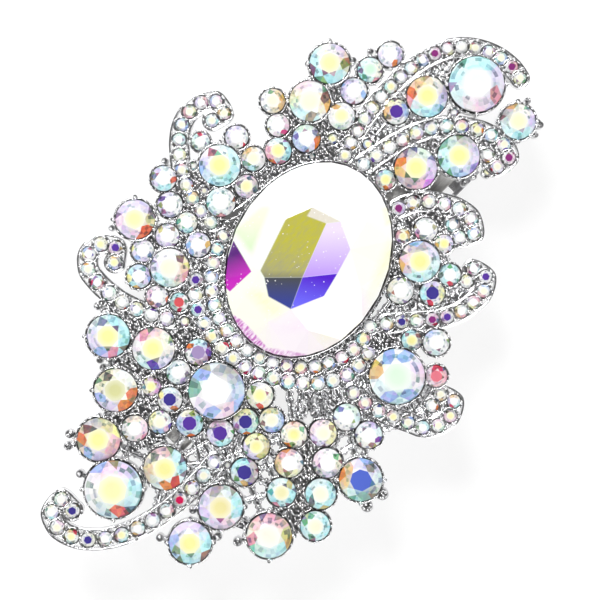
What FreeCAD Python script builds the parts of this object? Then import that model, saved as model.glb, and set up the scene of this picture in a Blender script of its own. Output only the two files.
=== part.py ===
# Rhinestone hair clip: an openwork casting set with faceted stones, riveted to a French barrette.
#
# Frame: millimetres, +Z up.  The origin lies on the flat underside of the closed clasp arm, straight
# below the middle of the ornament; +X runs along the ornament, stones face +Z.
import FreeCAD, Part
import math
import os
from FreeCAD import Vector

doc = FreeCAD.newDocument("RhinestoneHairClip")

# ---------------------------------------------------------------- driving dimensions (millimetres)
SIZES = [
    ("ornament_length", 94.8, "overall length of the ornament; the stone layout scales with it"),
    ("oval_length", 28.8, "big oval stone, long axis"),
    ("oval_width", 22.4, "big oval stone, short axis"),
    ("oval_tilt", 19.5, "degrees from +X to the oval's long axis"),
    ("small_stone", 2.12, "largest diameter of a stone in the small rows"),
    ("stone_gap", 0.05, "least gap between neighbouring stones in a row"),
    ("cluster_fill", 1.2, "most that a cluster's stone grows to fill its place"),
    ("cluster_gap", 0.08, "least gap that a grown stone keeps to its neighbours"),
    ("seat_play", 0.05, "radial play of a stone in its seat"),
    ("seat_wall", 0.32, "metal left round a seat; it scales with the layout"),
    ("floor_thick", 1.3, "back layer of the casting, under the seats"),
    ("seat_depth", 1.0, "height of the seat walls"),
    ("claw_radius", 0.3, "upright claws round the larger stones"),
    ("pad_radius", 1.7, "back pad that takes a rivet"),
    ("clip_length", 60.0, "length of the base plate"),
    ("clip_shift", 4.0, "middle of the base plate, from the origin along X"),
    ("plate_width", 8.0, "base plate, across"),
    ("plate_end", 1.2, "base plate past the catch"),
    ("plate_thick", 1.0, "base plate"),
    ("ear_length", 5.0, "hinge ears, along X"),
    ("ear_thick", 0.8, "hinge ears"),
    ("pin_height", 3.0, "hinge axis above the resting plane"),
    ("pin_radius", 0.6, "hinge pin"),
    ("pin_head", 1.0, "radius of the pin's heads"),
    ("pin_play", 0.05, "running clearance of the arm on the pin"),
    ("rivet_fit", 0.01, "radial gap of a rivet or pin in a fixed hole"),
    ("arm_side_gap", 0.2, "room between the arm and each hinge ear"),
    ("arm_thick", 0.8, "strip that the clasp arm is folded from"),
    ("arm_rim", 2.4, "height of the arm's folded rims"),
    ("tongue_rise", 2.0, "underside of the arm's tongue above the resting plane"),
    ("tongue_tip", 1.4, "end of the tongue past its window"),
    ("knuckle_radius", 1.8, "rounded end of the arm's rims, round the pin"),
    ("hair_gap", 4.8, "clear height for hair, from the arm's rims to the spring"),
    ("spring_rise", 4.0, "bow of the spring"),
    ("spring_thick", 0.4, "spring strip"),
    ("spring_width", 5.0, "spring strip, across"),
    ("spring_foot", 2.0, "flat foot at each end of the spring"),
    ("foot_tuck", 0.3, "how far a foot runs in under the bow"),
    ("spring_ear_gap", 2.0, "from the hinge ears to the spring"),
    ("spring_catch_gap", 4.0, "from the spring to the catch end of the plate"),
    ("lip_thick", 0.4, "lips that hold the feet of the spring"),
    ("lip_play", 0.05, "play of a foot in its lips"),
    ("lip_hold", 0.6, "how far a lip reaches over the foot"),
    ("lip_short", 0.5, "how much shorter than the foot a lip is"),
    ("catch_length", 4.0, "catch strip, along X"),
    ("catch_thick", 0.6, "catch strip"),
    ("catch_half", 1.3, "inner face of a catch leg, from the middle"),
    ("catch_play", 0.1, "gap at a fold and at the hooks"),
    ("hook_depth", 0.25, "how far a hook stands out of its leg"),
    ("tab_reach", 3.4, "pinch tab, out from its leg"),
    ("tab_rise", 2.6, "shelf of a pinch tab, above the tongue"),
    ("grip_drop", 2.0, "finger pad, below the shelf"),
    ("grip_height", 5.0, "finger pad, its height"),
    ("grip_lap", 0.5, "finger pad, past each side of the strip"),
    ("leg_drop", 1.5, "catch legs, below the underside of the tongue"),
    ("hook_blunt", 0.02, "flat at the point of a hook"),
    ("window_play", 0.8, "room along X round the catch legs in the tongue's window"),
    ("riser_gap", 1.6, "from the arm's riser to the window"),
    ("rivet_radius", 0.5, "rivets that hold the base plate"),
    ("rivet_head", 0.7, "radius of their heads"),
    ("rivet_edge", 0.1, "from a rivet's head to the edge of the plate"),
    ("rivet_inset", 5.0, "from an end of the spring to the rivets"),
    ("head_thick", 0.4, "thickness of every rivet or pin head"),
    ("rivet_bite", 0.9, "depth of a rivet in the casting"),
]
sheet = doc.addObject("Spreadsheet::Sheet", "Sizes")
for row, (alias, value, note) in enumerate(SIZES, start=1):
    sheet.set(f"A{row}", alias)
    sheet.set(f"B{row}", str(value))
    sheet.setAlias(f"B{row}", alias)
    sheet.set(f"C{row}", note)
doc.recompute()


def size(alias):
    """A driving dimension, read back from the sheet."""
    return float(sheet.get(alias))


def on_sheet(expression):
    """Write sheet aliases into an expression: every known word becomes Sizes.word."""
    words = {alias for alias, _, _ in SIZES}
    out, word = "", ""
    for letter in expression + " ":
        if letter.isalnum() or letter == "_":
            word += letter
        else:
            out += ("Sizes." + word if word in words else word) + letter
            word = ""
    return out.strip()


# Heights and places that several pieces share, as expressions on the sheet.
CROWN = "(arm_rim + hair_gap)"
PLATE = "(arm_rim + hair_gap + spring_rise + spring_thick)"
BACK = "(arm_rim + hair_gap + spring_rise + spring_thick + plate_thick)"
HINGE_X = "(clip_shift - clip_length / 2 + ear_length / 2)"
CATCH_X = "(clip_shift + clip_length / 2 - catch_length / 2 - plate_end)"
SPRING_FROM = "(clip_shift - clip_length / 2 + ear_length + spring_ear_gap)"
SPRING_TO = "(clip_shift + clip_length / 2 - catch_length - spring_catch_gap)"
ARM_WIDTH = "(plate_width - 2 * ear_thick - 2 * arm_side_gap)"
RIVET_XS = [f"({SPRING_FROM} + rivet_inset)", f"({SPRING_TO} - rivet_inset)"]
RIVET_Y = "(plate_width / 2 - rivet_head - rivet_edge)"
PAST = "1"                                # how far a hole's tool stands out of what it cuts


def worth(expression):
    """What an expression on the sheet comes to."""
    return float(sheet.evalExpression(on_sheet(expression)))


NOMINAL_LENGTH = 94.8        # the ornament length at which the layout below is written
OVAL_BEZEL = 0.6             # metal round the oval stone's outline
CUP_RISE = 0.7               # how far the cups of the larger stones rise above the other seats
CLAW_COUNT = 4
CLAW_TURN = 45               # degrees from +X to the first claw
CLAW_RISE = 0.5              # how far a claw rises above the girdle of its stone
SMALLEST_GAP = 13.0          # area below which a gap between seats is closed with metal
GIRDLE_BAND = 0.06           # height of a stone's girdle, as a share of its radius

# Bars that join clusters: from, to and width.
BARS = [
    (-31.0, 1.6, -26.0, -0.6, 1.0), (-25.4, -21.2, -19.8, -18.1, 1.4),
    (-25.4, -21.2, -28.2, -15.0, 1.2), (-16.0, -22.2, -19.8, -18.1, 1.2),
    (-16.0, -22.2, -12.2, -19.75, 1.2), (-19.8, -24.9, -16.0, -22.2, 1.2),
    (-19.8, -24.9, -25.4, -21.2, 1.2), (-12.2, -19.75, -9.6, -16.3, 1.4),
    (-12.2, -19.75, -16.1, -15.9, 1.2), (-12.4, 9.0, -9.9, 9.0, 0.9),
    (21.2, 12.5, 24.3, 13.9, 0.9), (21.2, 12.5, 18.5, 15.2, 0.9),
    (-26.2, 9.0, -28.2, 3.2, 1.2), (-26.2, 9.0, -21.5, 15.2, 1.2),
    (-26.2, 9.0, -32.9, 5.75, 1.2), (0.6, 14.6, 6.0, 15.0, 1.6), (6.0, 15.0, 14.0, 15.4, 1.4),
]

# Shot beads cast with the frame: x, y and radius.
BEADS = [
    (-38.4, 4.2, 0.6), (-36.8, 8.2, 0.65), (-35.4, 9.3, 0.65), (-36.8, -10.4, 0.6),
    (-30.6, -10.9, 0.6), (-30.8, -16.2, 0.6), (-29.3, -18.7, 0.7), (-12.6, -28.2, 0.9),
    (-9.8, -28.5, 0.95), (-23.9, -10.6, 0.55), (-13.1, -22.6, 0.6), (30.0, -5.3, 0.5),
    (31.6, -5.6, 0.5), (44.8, -3.4, 0.5), (43.6, -7.1, 0.55), (42.1, -7.6, 0.5),
    (-25.3, 12.6, 0.55), (-24.9, 13.7, 0.5), (-19.6, 19.4, 0.6), (-19.4, 18.3, 0.6),
    (-10.3, 25.9, 0.45), (1.9, 27.3, 0.5), (31.2, 18.4, 0.5), (33.9, 17.6, 0.5),
    (-6.6, -12.6, 0.6), (-8.1, -12.0, 0.5), (-6.9, -14.0, 0.5), (-8.6, -13.4, 0.55),
]

# How the stones are cut, as shares of the radius: flat foot, height of the girdle above the foot,
# height of the crown above the girdle, and table; the oval as share of its outline and height.
CUTS = {
    "small": {"sides": 8, "foot": 0.45, "girdle": 0.78, "crown": 0.50, "table": 0.55},
    "medium": {"sides": 12, "foot": 0.40, "girdle": 0.70, "crown": 0.45, "table": 0.52},
    "large": {"sides": 16, "foot": 0.38, "girdle": 0.60, "crown": 0.42, "table": 0.50},
}
OVAL_CUT = [(0.45, 0.0), (1.0, 2.3), (1.0, 2.7), (0.82, 4.3), (0.5, 5.6)]

# Where the larger stones sit: x, y and diameter, chosen one by one.  All are in millimetres at the
# nominal ornament length, and the whole layout is scaled with that length.
OVAL_CENTRE = (6.5, 2.7)

GRAND_STONES = {
    "grand_stone_left_tip": (-36.4, -0.75, 8.3),
    "grand_stone_beside_oval": (-16.05, -1.25, 8.1),
    "grand_stone_bottom": (3.6, -18.0, 8.0),
    "grand_stone_right_tip": (41.1, 3.45, 8.0),
}

LARGE_STONES = {
    "large_stone_left_crest": (-32.9, 5.75, 6.2),
    "large_stone_left_heart": (-29.1, -3.9, 6.2),
    "large_stone_left_shoulder": (-26.2, 9.0, 6.2),
    "large_stone_upper_left_inner": (-18.2, 9.4, 6.1),
    "large_stone_upper_left_outer": (-21.5, 15.2, 6.2),
    "large_stone_lower_left_outer": (-34.1, -13.9, 6.1),
    "large_stone_lower_left_inner": (-27.4, -13.4, 6.4),
    "large_stone_lower_left_corner": (-25.4, -21.2, 6.5),
    "large_stone_bottom_left": (-10.5, -24.8, 6.2),
    "large_stone_lower_right": (17.5, -8.7, 5.9),
    "large_stone_right_heart": (26.5, 1.1, 6.1),
    "large_stone_right_lower": (32.1, -2.0, 6.0),
    "large_stone_right_upper": (34.9, 7.2, 5.9),
    "large_stone_right_foot": (41.6, -4.5, 5.1),
    "large_stone_top_left": (-8.4, 15.9, 5.6),
    "large_stone_top_crest": (-7.0, 24.3, 5.7),
    "large_stone_top_centre": (7.0, 21.2, 6.0),
    "large_stone_top_right_inner": (22.6, 18.6, 5.9),
    "large_stone_top_right_outer": (28.4, 20.4, 5.8),
}

MEDIUM_STONES = {
    "medium_stones_left_wing": [
        (-28.2, 3.2, 3.6), (-22.3, 5.8, 2.6), (-18.1, 4.5, 3.4), (-14.05, 4.5, 3.7),
        (-21.7, 2.6, 3.5), (-25.0, 1.3, 3.3), (-22.1, -1.8, 3.7), (-20.0, -5.9, 3.7),
        (-16.3, -7.3, 3.6), (-12.2, -6.1, 3.6)],
    "medium_stones_lower_left": [
        (-21.5, -12.3, 3.8), (-17.7, -10.9, 3.7), (-13.5, -9.8, 3.5), (-12.7, -13.5, 3.7),
        (-16.1, -15.9, 3.8), (-9.6, -16.3, 3.6), (-19.8, -18.1, 3.7), (-12.2, -19.75, 3.7),
        (-16.0, -22.2, 3.7), (-19.8, -24.9, 3.6), (-5.6, -17.1, 3.7), (-5.2, -21.1, 3.7)],
    "medium_stones_lower_right": [
        (8.75, -15.9, 2.9), (11.0, -18.6, 3.6), (7.6, -22.0, 3.2), (15.6, -13.2, 3.4),
        (19.2, -13.1, 3.2), (12.6, -9.7, 3.3), (21.8, -9.4, 2.7), (21.4, -6.1, 3.4),
        (18.4, -4.5, 2.2), (22.35, 3.0, 2.9), (30.3, 8.8, 3.6)],
    "medium_stones_upper_left": [
        (-12.4, 18.2, 3.4), (-12.6, 14.3, 3.0), (-9.4, 20.4, 3.1), (-10.95, 11.5, 2.4),
        (-5.4, 19.4, 3.4), (-2.1, 18.8, 3.0), (-2.0, 22.3, 3.5), (0.0, 25.6, 3.5),
        (-3.2, 15.4, 3.6)],
    "medium_stones_top": [
        (7.5, 25.6, 2.7), (11.6, 22.4, 3.2), (11.1, 18.5, 3.5), (7.6, 16.4, 3.4),
        (3.4, 17.4, 3.6)],
    "medium_stones_upper_right": [
        (14.4, 16.8, 3.8), (17.0, 19.4, 3.2), (18.9, 22.4, 3.4), (18.5, 15.2, 3.6),
        (24.3, 13.9, 3.7), (28.1, 15.2, 3.7), (31.9, 15.7, 3.6), (35.5, 15.2, 3.6)],
}

# Rows of small stones: each follows a smooth curve through a few points, with a number of stones
# spaced evenly along it from the first point to the last.
SMALL_ROWS = {
    "small_stones_left_tail": (15, [
        (-42.9, 1.2), (-43.3, 3.7), (-45.5, 2.9), (-46.1, 0.4), (-43.6, -4.0), (-37.5, -7.4),
        (-30.6, -8.6), (-23.6, -8.3)]),
    "small_stones_outer_halo": (17, [
        (3.0, -12.9), (-3.1, -12.1), (-8.4, -6.9), (-11.0, -0.9), (-10.9, 5.4), (-9.6, 9.2),
        (-7.0, 12.1)]),
    "small_stones_inner_halo": (20, [
        (5.9, -10.3), (0.0, -10.65), (-5.5, -7.1), (-8.8, -0.8), (-8.4, 6.1), (-5.1, 10.8),
        (0.2, 13.7)]),
    "small_stones_bottom_crook": (11, [
        (-2.5, -15.3), (-1.7, -19.9), (0.15, -24.0), (1.3, -26.2), (4.3, -27.5), (6.8, -26.5),
        (6.2, -24.3), (4.2, -24.6)]),
    "small_stones_lower_right_scroll": (11, [
        (7.9, -11.7), (11.3, -14.5), (15.6, -17.6), (20.2, -18.3), (22.5, -17.4),
        (22.5, -15.2), (20.3, -15.5)]),
    "small_stones_right_hook": (9, [
        (20.8, -1.2), (23.8, -2.8), (26.3, -6.1), (27.1, -9.6), (25.9, -11.4), (24.3, -10.8),
        (24.6, -8.4)]),
    "small_stones_right_curl": (14, [
        (21.7, 6.8), (27.6, 5.5), (32.9, 3.2), (36.2, -0.3), (37.9, -4.5), (37.5, -7.0),
        (35.5, -7.3), (35.2, -4.9)]),
    "small_stones_right_rim": (18, [
        (20.7, 9.6), (26.0, 11.2), (32.0, 11.9), (37.8, 11.5), (42.9, 9.3), (46.2, 4.4),
        (46.3, -0.3)]),
    "small_stones_upper_left_scroll": (11, [
        (-13.5, 22.1), (-11.9, 23.9), (-13.6, 25.6), (-16.1, 25.1), (-17.2, 21.4),
        (-16.6, 16.8), (-13.9, 11.1)]),
    "small_stones_top_scroll": (13, [
        (0.3, 16.4), (0.9, 20.6), (4.0, 26.4), (8.0, 29.5), (11.2, 29.6), (13.1, 28.3),
        (12.9, 26.3), (10.8, 26.6)]),
}

SMALL_ACCENTS = {
    "small_stone_accents": [
        (-12.4, 9.0, 1.4), (2.9, 20.3, 1.2), (24.2, 8.4, 1.5),
        (4.3, 23.9, 1.2), (17.3, 12.9, 1.0), (21.2, 12.5, 1.5), (33.5, -6.6, 1.2),
        (-22.6, -9.9, 1.0), (36.2, 2.9, 1.2)],
}


# --------------------------------------------------------------------------- the openwork casting
def disc(x, y, radius):
    return Part.Face(Part.Wire(Part.makeCircle(radius, Vector(x, y, 0))))


def bar(x1, y1, x2, y2, width):
    """A straight bar between two points."""
    along = Vector(x2 - x1, y2 - y1, 0).normalize()
    side = Vector(-along.y, along.x, 0) * (width / 2)
    start, end = Vector(x1, y1, 0), Vector(x2, y2, 0)
    corners = [start + side, end + side, end - side, start - side]
    return Part.Face(Part.makePolygon(corners + corners[:1]))


def oval_face(margin):
    """The oval stone's outline, grown by a margin."""
    ellipse = Part.Ellipse(Vector(0, 0, 0), oval_reach[0] + margin, oval_reach[1] + margin)
    face = Part.Face(Part.Wire(ellipse.toShape()))
    face.rotate(Vector(0, 0, 0), Vector(0, 0, 1), size("oval_tilt"))
    face.translate(Vector(*oval_centre, 0))
    return face


def in_oval(x, y, margin):
    """Whether a point lies within the oval's outline grown by a margin."""
    tilt = math.radians(size("oval_tilt"))
    dx, dy = x - oval_centre[0], y - oval_centre[1]
    along = dx * math.cos(tilt) + dy * math.sin(tilt)
    across = dy * math.cos(tilt) - dx * math.sin(tilt)
    return math.hypot(along / (oval_reach[0] + margin), across / (oval_reach[1] + margin)) < 1


def united(faces, smallest_gap=0.0):
    """Join flat faces that overlap into plain faces, and close the gaps that are too small."""
    shared = {}
    for face in faces[0].multiFuse(faces[1:]).Faces:
        for edge in face.Edges:
            shared.setdefault(edge.hashCode(), []).append(edge)
    border = [edges[0] for edges in shared.values() if len(edges) == 1]
    wires = [Part.Wire(run) for run in Part.sortEdges(border)]
    whole = Part.makeFace(wires, "Part::FaceMakerBullseye")
    kept = []
    for face in whole.Faces:
        gaps = [wire for wire in face.Wires if not wire.isSame(face.OuterWire)
                and Part.Face(wire).Area > smallest_gap]
        kept += Part.makeFace([face.OuterWire] + gaps, "Part::FaceMakerBullseye").Faces
    return Part.makeCompound(kept)


def layer(flat, low, high):
    """A flat shape made into a layer of metal between two heights."""
    lifted = flat.copy()
    lifted.translate(Vector(0, 0, low))
    return lifted.extrude(Vector(0, 0, high - low))


def row_stones(count, points):
    """Stones spaced evenly along a smooth curve, as large as the row's closest pair allows."""
    curve = Part.BSplineCurve()
    curve.interpolate([Vector(x * scale, y * scale, 0) for x, y in points])
    places = curve.discretize(Number=count)
    closest = min((a - b).Length for i, a in enumerate(places) for b in places[:i])
    radius = min(closest - size("stone_gap"), size("small_stone") * scale) / 2
    return [(place.x, place.y, radius) for place in places]


def filled_out(x, y, radius, cluster, others):
    """A cluster's stone, grown into the room round it, which it shares with the cluster's rest."""
    gap = size("cluster_gap")
    edge = Part.Vertex(x, y, 0).distToShape(oval_face(OVAL_BEZEL).OuterWire)[0]
    growth = [radius * (size("cluster_fill") - 1), edge - radius - gap]
    for group, share in ((cluster, 0.5), (others, 1.0)):
        growth += [share * (math.hypot(a - x, b - y) - radius - r - gap)
                   for a, b, r in group if (a, b) != (x, y)]
    return (x, y, radius + max(min(growth), 0.0))


def claws(x, y, radius):
    """Upright claws round one stone, left out where another stone or the oval is in the way."""
    claw = size("claw_radius")
    reach = radius + play + claw
    top = floor_z + radius * CUTS["large"]["girdle"] + CLAW_RISE
    for turn in range(CLAW_COUNT):
        angle = math.radians(CLAW_TURN + 360 / CLAW_COUNT * turn)
        cx, cy = x + reach * math.cos(angle), y + reach * math.sin(angle)
        clear = all(math.hypot(cx - a, cy - b) > r + claw + play
                    for a, b, r in every_stone if (a, b) != (x, y))
        if clear and not in_oval(cx, cy, OVAL_BEZEL + claw):
            yield Part.makeCylinder(claw, top - floor_z, Vector(cx, cy, floor_z))


scale = size("ornament_length") / NOMINAL_LENGTH
oval_centre = (OVAL_CENTRE[0] * scale, OVAL_CENTRE[1] * scale)
oval_reach = (size("oval_length") * scale / 2, size("oval_width") * scale / 2)
wall, play = size("seat_wall") * scale, size("seat_play")
back_z = worth(BACK)
floor_z = back_z + size("floor_thick")
rim_z = floor_z + size("seat_depth")

stones = {}                                     # node: [(x, y, radius), ...]
for node, (x, y, across) in {**GRAND_STONES, **LARGE_STONES}.items():
    stones[node] = [(x * scale, y * scale, across * scale / 2)]
for node, places in {**MEDIUM_STONES, **SMALL_ACCENTS}.items():
    stones[node] = [(x * scale, y * scale, across * scale / 2) for x, y, across in places]
for node, (count, points) in SMALL_ROWS.items():
    stones[node] = row_stones(count, points)
cluster = [stone for node in MEDIUM_STONES for stone in stones[node]]
others = [stone for node in stones if node not in MEDIUM_STONES for stone in stones[node]]
for node in MEDIUM_STONES:
    stones[node] = [filled_out(*stone, cluster, others) for stone in stones[node]]
every_stone = [stone for group in stones.values() for stone in group]
cupped = [stones[node][0] for node in {**GRAND_STONES, **LARGE_STONES}]

beads = [(x * scale, y * scale, radius * scale) for x, y, radius in BEADS]
bars = [bar(*[value * scale for value in row]) for row in BARS]
for x, y, radius in beads:                      # each bead is joined to the stone seat nearest it
    near = min(every_stone, key=lambda stone: math.hypot(stone[0] - x, stone[1] - y) - stone[2])
    bars.append(bar(x, y, near[0], near[1], radius))
rivet_places = [(worth(x), side * worth(RIVET_Y)) for x in RIVET_XS for side in (1, -1)]
pads = [disc(x, y, size("pad_radius")) for x, y in rivet_places + [(worth(CATCH_X), 0)]]

outline = united([oval_face(OVAL_BEZEL)] + [disc(x, y, r + wall) for x, y, r in every_stone]
                 + [disc(x, y, r) for x, y, r in beads] + bars + pads, SMALLEST_GAP)
seats = united([oval_face(play)] + [disc(x, y, r + play) for x, y, r in every_stone])
cups = united([oval_face(OVAL_BEZEL)] + [disc(x, y, r + wall) for x, y, r in cupped])

metal = [layer(outline.cut(seats), floor_z, rim_z), layer(cups.cut(seats), rim_z, rim_z + CUP_RISE)]
metal += [claw for stone in cupped for claw in claws(*stone)]
clear_of_stones = layer(seats, floor_z, rim_z + 5)
for x, y, radius in beads:
    ball = Part.makeSphere(radius, Vector(x, y, rim_z)).cut(clear_of_stones)
    metal += ball.Solids
casting_shape = layer(outline, back_z, floor_z).multiFuse(metal)
rivet_hole = size("rivet_radius") + size("rivet_fit")
casting_shape = casting_shape.cut([
    Part.makeCylinder(rivet_hole, size("rivet_bite"), Vector(x, y, back_z))
    for x, y in rivet_places]).removeSplitter()
casting = doc.addObject("Part::Feature", "openwork_casting")
casting.Shape = casting_shape


# ------------------------------------------------------------------------------- the cut stones
def ring(centre, reach, height, sides, tilt=0.0):
    """Corners of a level, evenly divided ring; reach is its long and short half-axis."""
    corners = []
    for corner in range(sides):
        angle = 2 * math.pi * (corner + 0.5) / sides
        along, across = reach[0] * math.cos(angle), reach[1] * math.sin(angle)
        corners.append(Vector(centre[0] + along * math.cos(tilt) - across * math.sin(tilt),
                              centre[1] + along * math.sin(tilt) + across * math.cos(tilt),
                              height))
    return corners


def faceted(rings):
    """A closed solid with flat facets through a stack of rings, lowest first."""
    faces = [Part.Face(Part.makePolygon(end + end[:1])) for end in (rings[0], rings[-1])]
    for low, high in zip(rings, rings[1:]):
        for corner in range(len(low)):
            after = (corner + 1) % len(low)
            facet = [low[corner], low[after], high[after], high[corner], low[corner]]
            faces.append(Part.Face(Part.makePolygon(facet)))
    solid = Part.Solid(Part.Shell(faces))
    if solid.Volume < 0:
        solid.reverse()
    return solid


def round_stone(x, y, radius, cut):
    """A pointed-back stone with its foot flat on the floor of its seat."""
    girdle = floor_z + radius * cut["girdle"]
    heights = [(cut["foot"], floor_z), (1.0, girdle), (1.0, girdle + radius * GIRDLE_BAND),
               (cut["table"], girdle + radius * (GIRDLE_BAND + cut["crown"]))]
    return faceted([ring((x, y), (radius * share, radius * share), height, cut["sides"])
                    for share, height in heights])


def cut_of(node):
    if node in GRAND_STONES or node in LARGE_STONES:
        return CUTS["large"]
    return CUTS["medium"] if node in MEDIUM_STONES else CUTS["small"]


stone_nodes = []
for node, group in stones.items():
    feature = doc.addObject("Part::Feature", node)
    solids = [round_stone(*stone, cut_of(node)) for stone in group]
    feature.Shape = solids[0] if len(solids) == 1 else Part.makeCompound(solids)
    stone_nodes.append(feature)

oval = doc.addObject("Part::Feature", "oval_stone")
tilt = math.radians(size("oval_tilt"))
oval.Shape = faceted([
    ring(oval_centre, (oval_reach[0] * share, oval_reach[1] * share), floor_z + height, 24, tilt)
    for share, height in OVAL_CUT])
stone_nodes.append(oval)


# ------------------------------------------------------------------------ the hair clip behind it
def bind(item, **values):
    """Tie properties of an object to the sheet."""
    for name, expression in values.items():
        item.setExpression(name.replace("_", "."), on_sheet(str(expression)))
    return item


def place(item, x, y, z):
    for axis, expression in zip("xyz", (x, y, z)):
        item.setExpression(f"Placement.Base.{axis}", on_sheet(str(expression)))
    return item


def box(name, x, y, z):
    """A block; x, y and z each give its low side and its extent."""
    block = place(doc.addObject("Part::Box", name), x[0], y[0], z[0])
    return bind(block, Length=x[1], Width=y[1], Height=z[1])


def rod(name, radius, length, at, along="Z"):
    """A cylinder from a point, along an axis."""
    item = doc.addObject("Part::Cylinder", name)
    turns = {"X": FreeCAD.Rotation(Vector(0, 1, 0), 90), "Y": FreeCAD.Rotation(Vector(1, 0, 0), -90),
             "Z": FreeCAD.Rotation()}
    item.Placement = FreeCAD.Placement(Vector(0, 0, 0), turns[along])
    return bind(place(item, *at), Radius=radius, Height=length)


def joined(label, pieces):
    fused = doc.addObject("Part::MultiFuse", label)
    fused.Shapes = pieces
    return fused


def cut_from(label, base, tools):
    result = doc.addObject("Part::Cut", label)
    result.Base = base
    result.Tool = tools[0] if len(tools) == 1 else joined(label + "_tools", tools)
    return result


def both_sides(low, extent):
    """The same extent along Y, on the left and mirrored on the right."""
    return [(low, extent), (f"-({low}) - ({extent})", extent)]


# Base plate: a strip with two hinge ears folded down at one end and lips for the spring.
PLATE_X = "(clip_shift - clip_length / 2)"
plate_bits = [box("plate_strip", (PLATE_X, "clip_length"), ("-plate_width / 2", "plate_width"),
                  (PLATE, "plate_thick"))]
for y in both_sides("plate_width / 2 - ear_thick", "ear_thick"):
    plate_bits.append(box("plate_ear", (PLATE_X, "ear_length"), y,
                          ("pin_height", f"{PLATE} - pin_height")))
    plate_bits.append(rod("plate_ear_end", "ear_length / 2", "ear_thick",
                          (HINGE_X, y[0], "pin_height"), "Y"))
LIP_DROP = "(spring_thick + lip_play + lip_thick)"
for x in (SPRING_FROM, f"{SPRING_TO} - spring_foot + lip_short"):
    for y in both_sides("spring_width / 2 + lip_play", "lip_thick"):
        plate_bits.append(box("plate_lip_wall", (x, "spring_foot - lip_short"), y,
                              (f"{PLATE} - {LIP_DROP}", LIP_DROP)))
    for y in both_sides("spring_width / 2 - lip_hold", "lip_hold + lip_play + lip_thick"):
        plate_bits.append(box("plate_lip_ledge", (x, "spring_foot - lip_short"), y,
                              (f"{PLATE} - {LIP_DROP}", "lip_thick")))
plate_holes = [rod("plate_pin_hole", "pin_radius + rivet_fit", f"plate_width + 2 * {PAST}",
                   (HINGE_X, f"-plate_width / 2 - {PAST}", "pin_height"), "Y"),
               rod("plate_catch_hole", "rivet_radius + rivet_fit", f"plate_thick + 2 * {PAST}",
                   (CATCH_X, "0", f"{PLATE} - {PAST}"))]
for x in RIVET_XS:
    for sign in ("", "-"):
        plate_holes.append(rod("plate_rivet_hole", "rivet_radius + rivet_fit",
                               f"plate_thick + 2 * {PAST}",
                               (x, sign + RIVET_Y, f"{PLATE} - {PAST}")))
base_plate = cut_from("clip_base_plate", joined("plate_folded", plate_bits), plate_holes)

# Rivets: heads under the plate, shanks through it into the back of the casting.
rivets = []
for x in RIVET_XS:
    for sign in ("", "-"):
        shank = rod("rivet_shank", "rivet_radius", "plate_thick + rivet_bite",
                    (x, sign + RIVET_Y, PLATE))
        head = rod("rivet_cap", "rivet_head", "head_thick",
                   (x, sign + RIVET_Y, f"{PLATE} - head_thick"))
        rivets.append(joined("rivet", [shank, head]))
plate_rivets = doc.addObject("Part::Compound", "plate_rivets")
plate_rivets.Links = rivets

# Hinge pin: through both ears and the arm's knuckles, headed outside the ears.
pin_bits = [rod("pin_shaft", "pin_radius", "plate_width",
                (HINGE_X, "-plate_width / 2", "pin_height"), "Y")]
for y in both_sides("plate_width / 2", "head_thick"):
    pin_bits.append(rod("pin_cap", "pin_head", "head_thick", (HINGE_X, y[0], "pin_height"), "Y"))
hinge_pin = joined("hinge_pin", pin_bits)

# Clasp arm: a channel with rims, a knuckle on each rim, and a raised tongue with the window.
RISER_X = f"({CATCH_X} - catch_length / 2 - window_play - riser_gap)"
WINDOW_X = f"({CATCH_X} - catch_length / 2 - window_play)"
WINDOW_HALF = "(catch_half + catch_thick + hook_depth + catch_play)"
ARM_ACROSS = (f"-{ARM_WIDTH} / 2", ARM_WIDTH)
WEB_X = f"({HINGE_X} + knuckle_radius)"
arm_bits = [
    box("arm_web", (WEB_X, f"{RISER_X} + arm_thick - {WEB_X}"), ARM_ACROSS, ("0", "arm_thick")),
    box("arm_riser", (RISER_X, "arm_thick"), ARM_ACROSS, ("0", "tongue_rise + arm_thick")),
    box("arm_tongue", (RISER_X, "riser_gap + catch_length + 2 * window_play + tongue_tip"),
        ARM_ACROSS, ("tongue_rise", "arm_thick"))]
for y in both_sides(f"{ARM_WIDTH} / 2 - arm_thick", "arm_thick"):
    arm_bits.append(box("arm_rim", (HINGE_X, f"{RISER_X} + arm_thick - {HINGE_X}"), y,
                        ("0", "arm_rim")))
    arm_bits.append(rod("arm_knuckle", "knuckle_radius", "arm_thick",
                        (HINGE_X, y[0], "pin_height"), "Y"))
arm_holes = [
    rod("arm_pin_hole", "pin_radius + pin_play", f"{ARM_WIDTH} + 2 * {PAST}",
        (HINGE_X, f"-{ARM_WIDTH} / 2 - {PAST}", "pin_height"), "Y"),
    box("arm_window", (WINDOW_X, "catch_length + 2 * window_play"),
        (f"-{WINDOW_HALF}", f"2 * {WINDOW_HALF}"),
        (f"tongue_rise - {PAST}", f"arm_thick + 2 * {PAST}"))]
clasp_arm = cut_from("clasp_arm", joined("arm_folded", arm_bits), arm_holes)

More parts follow.
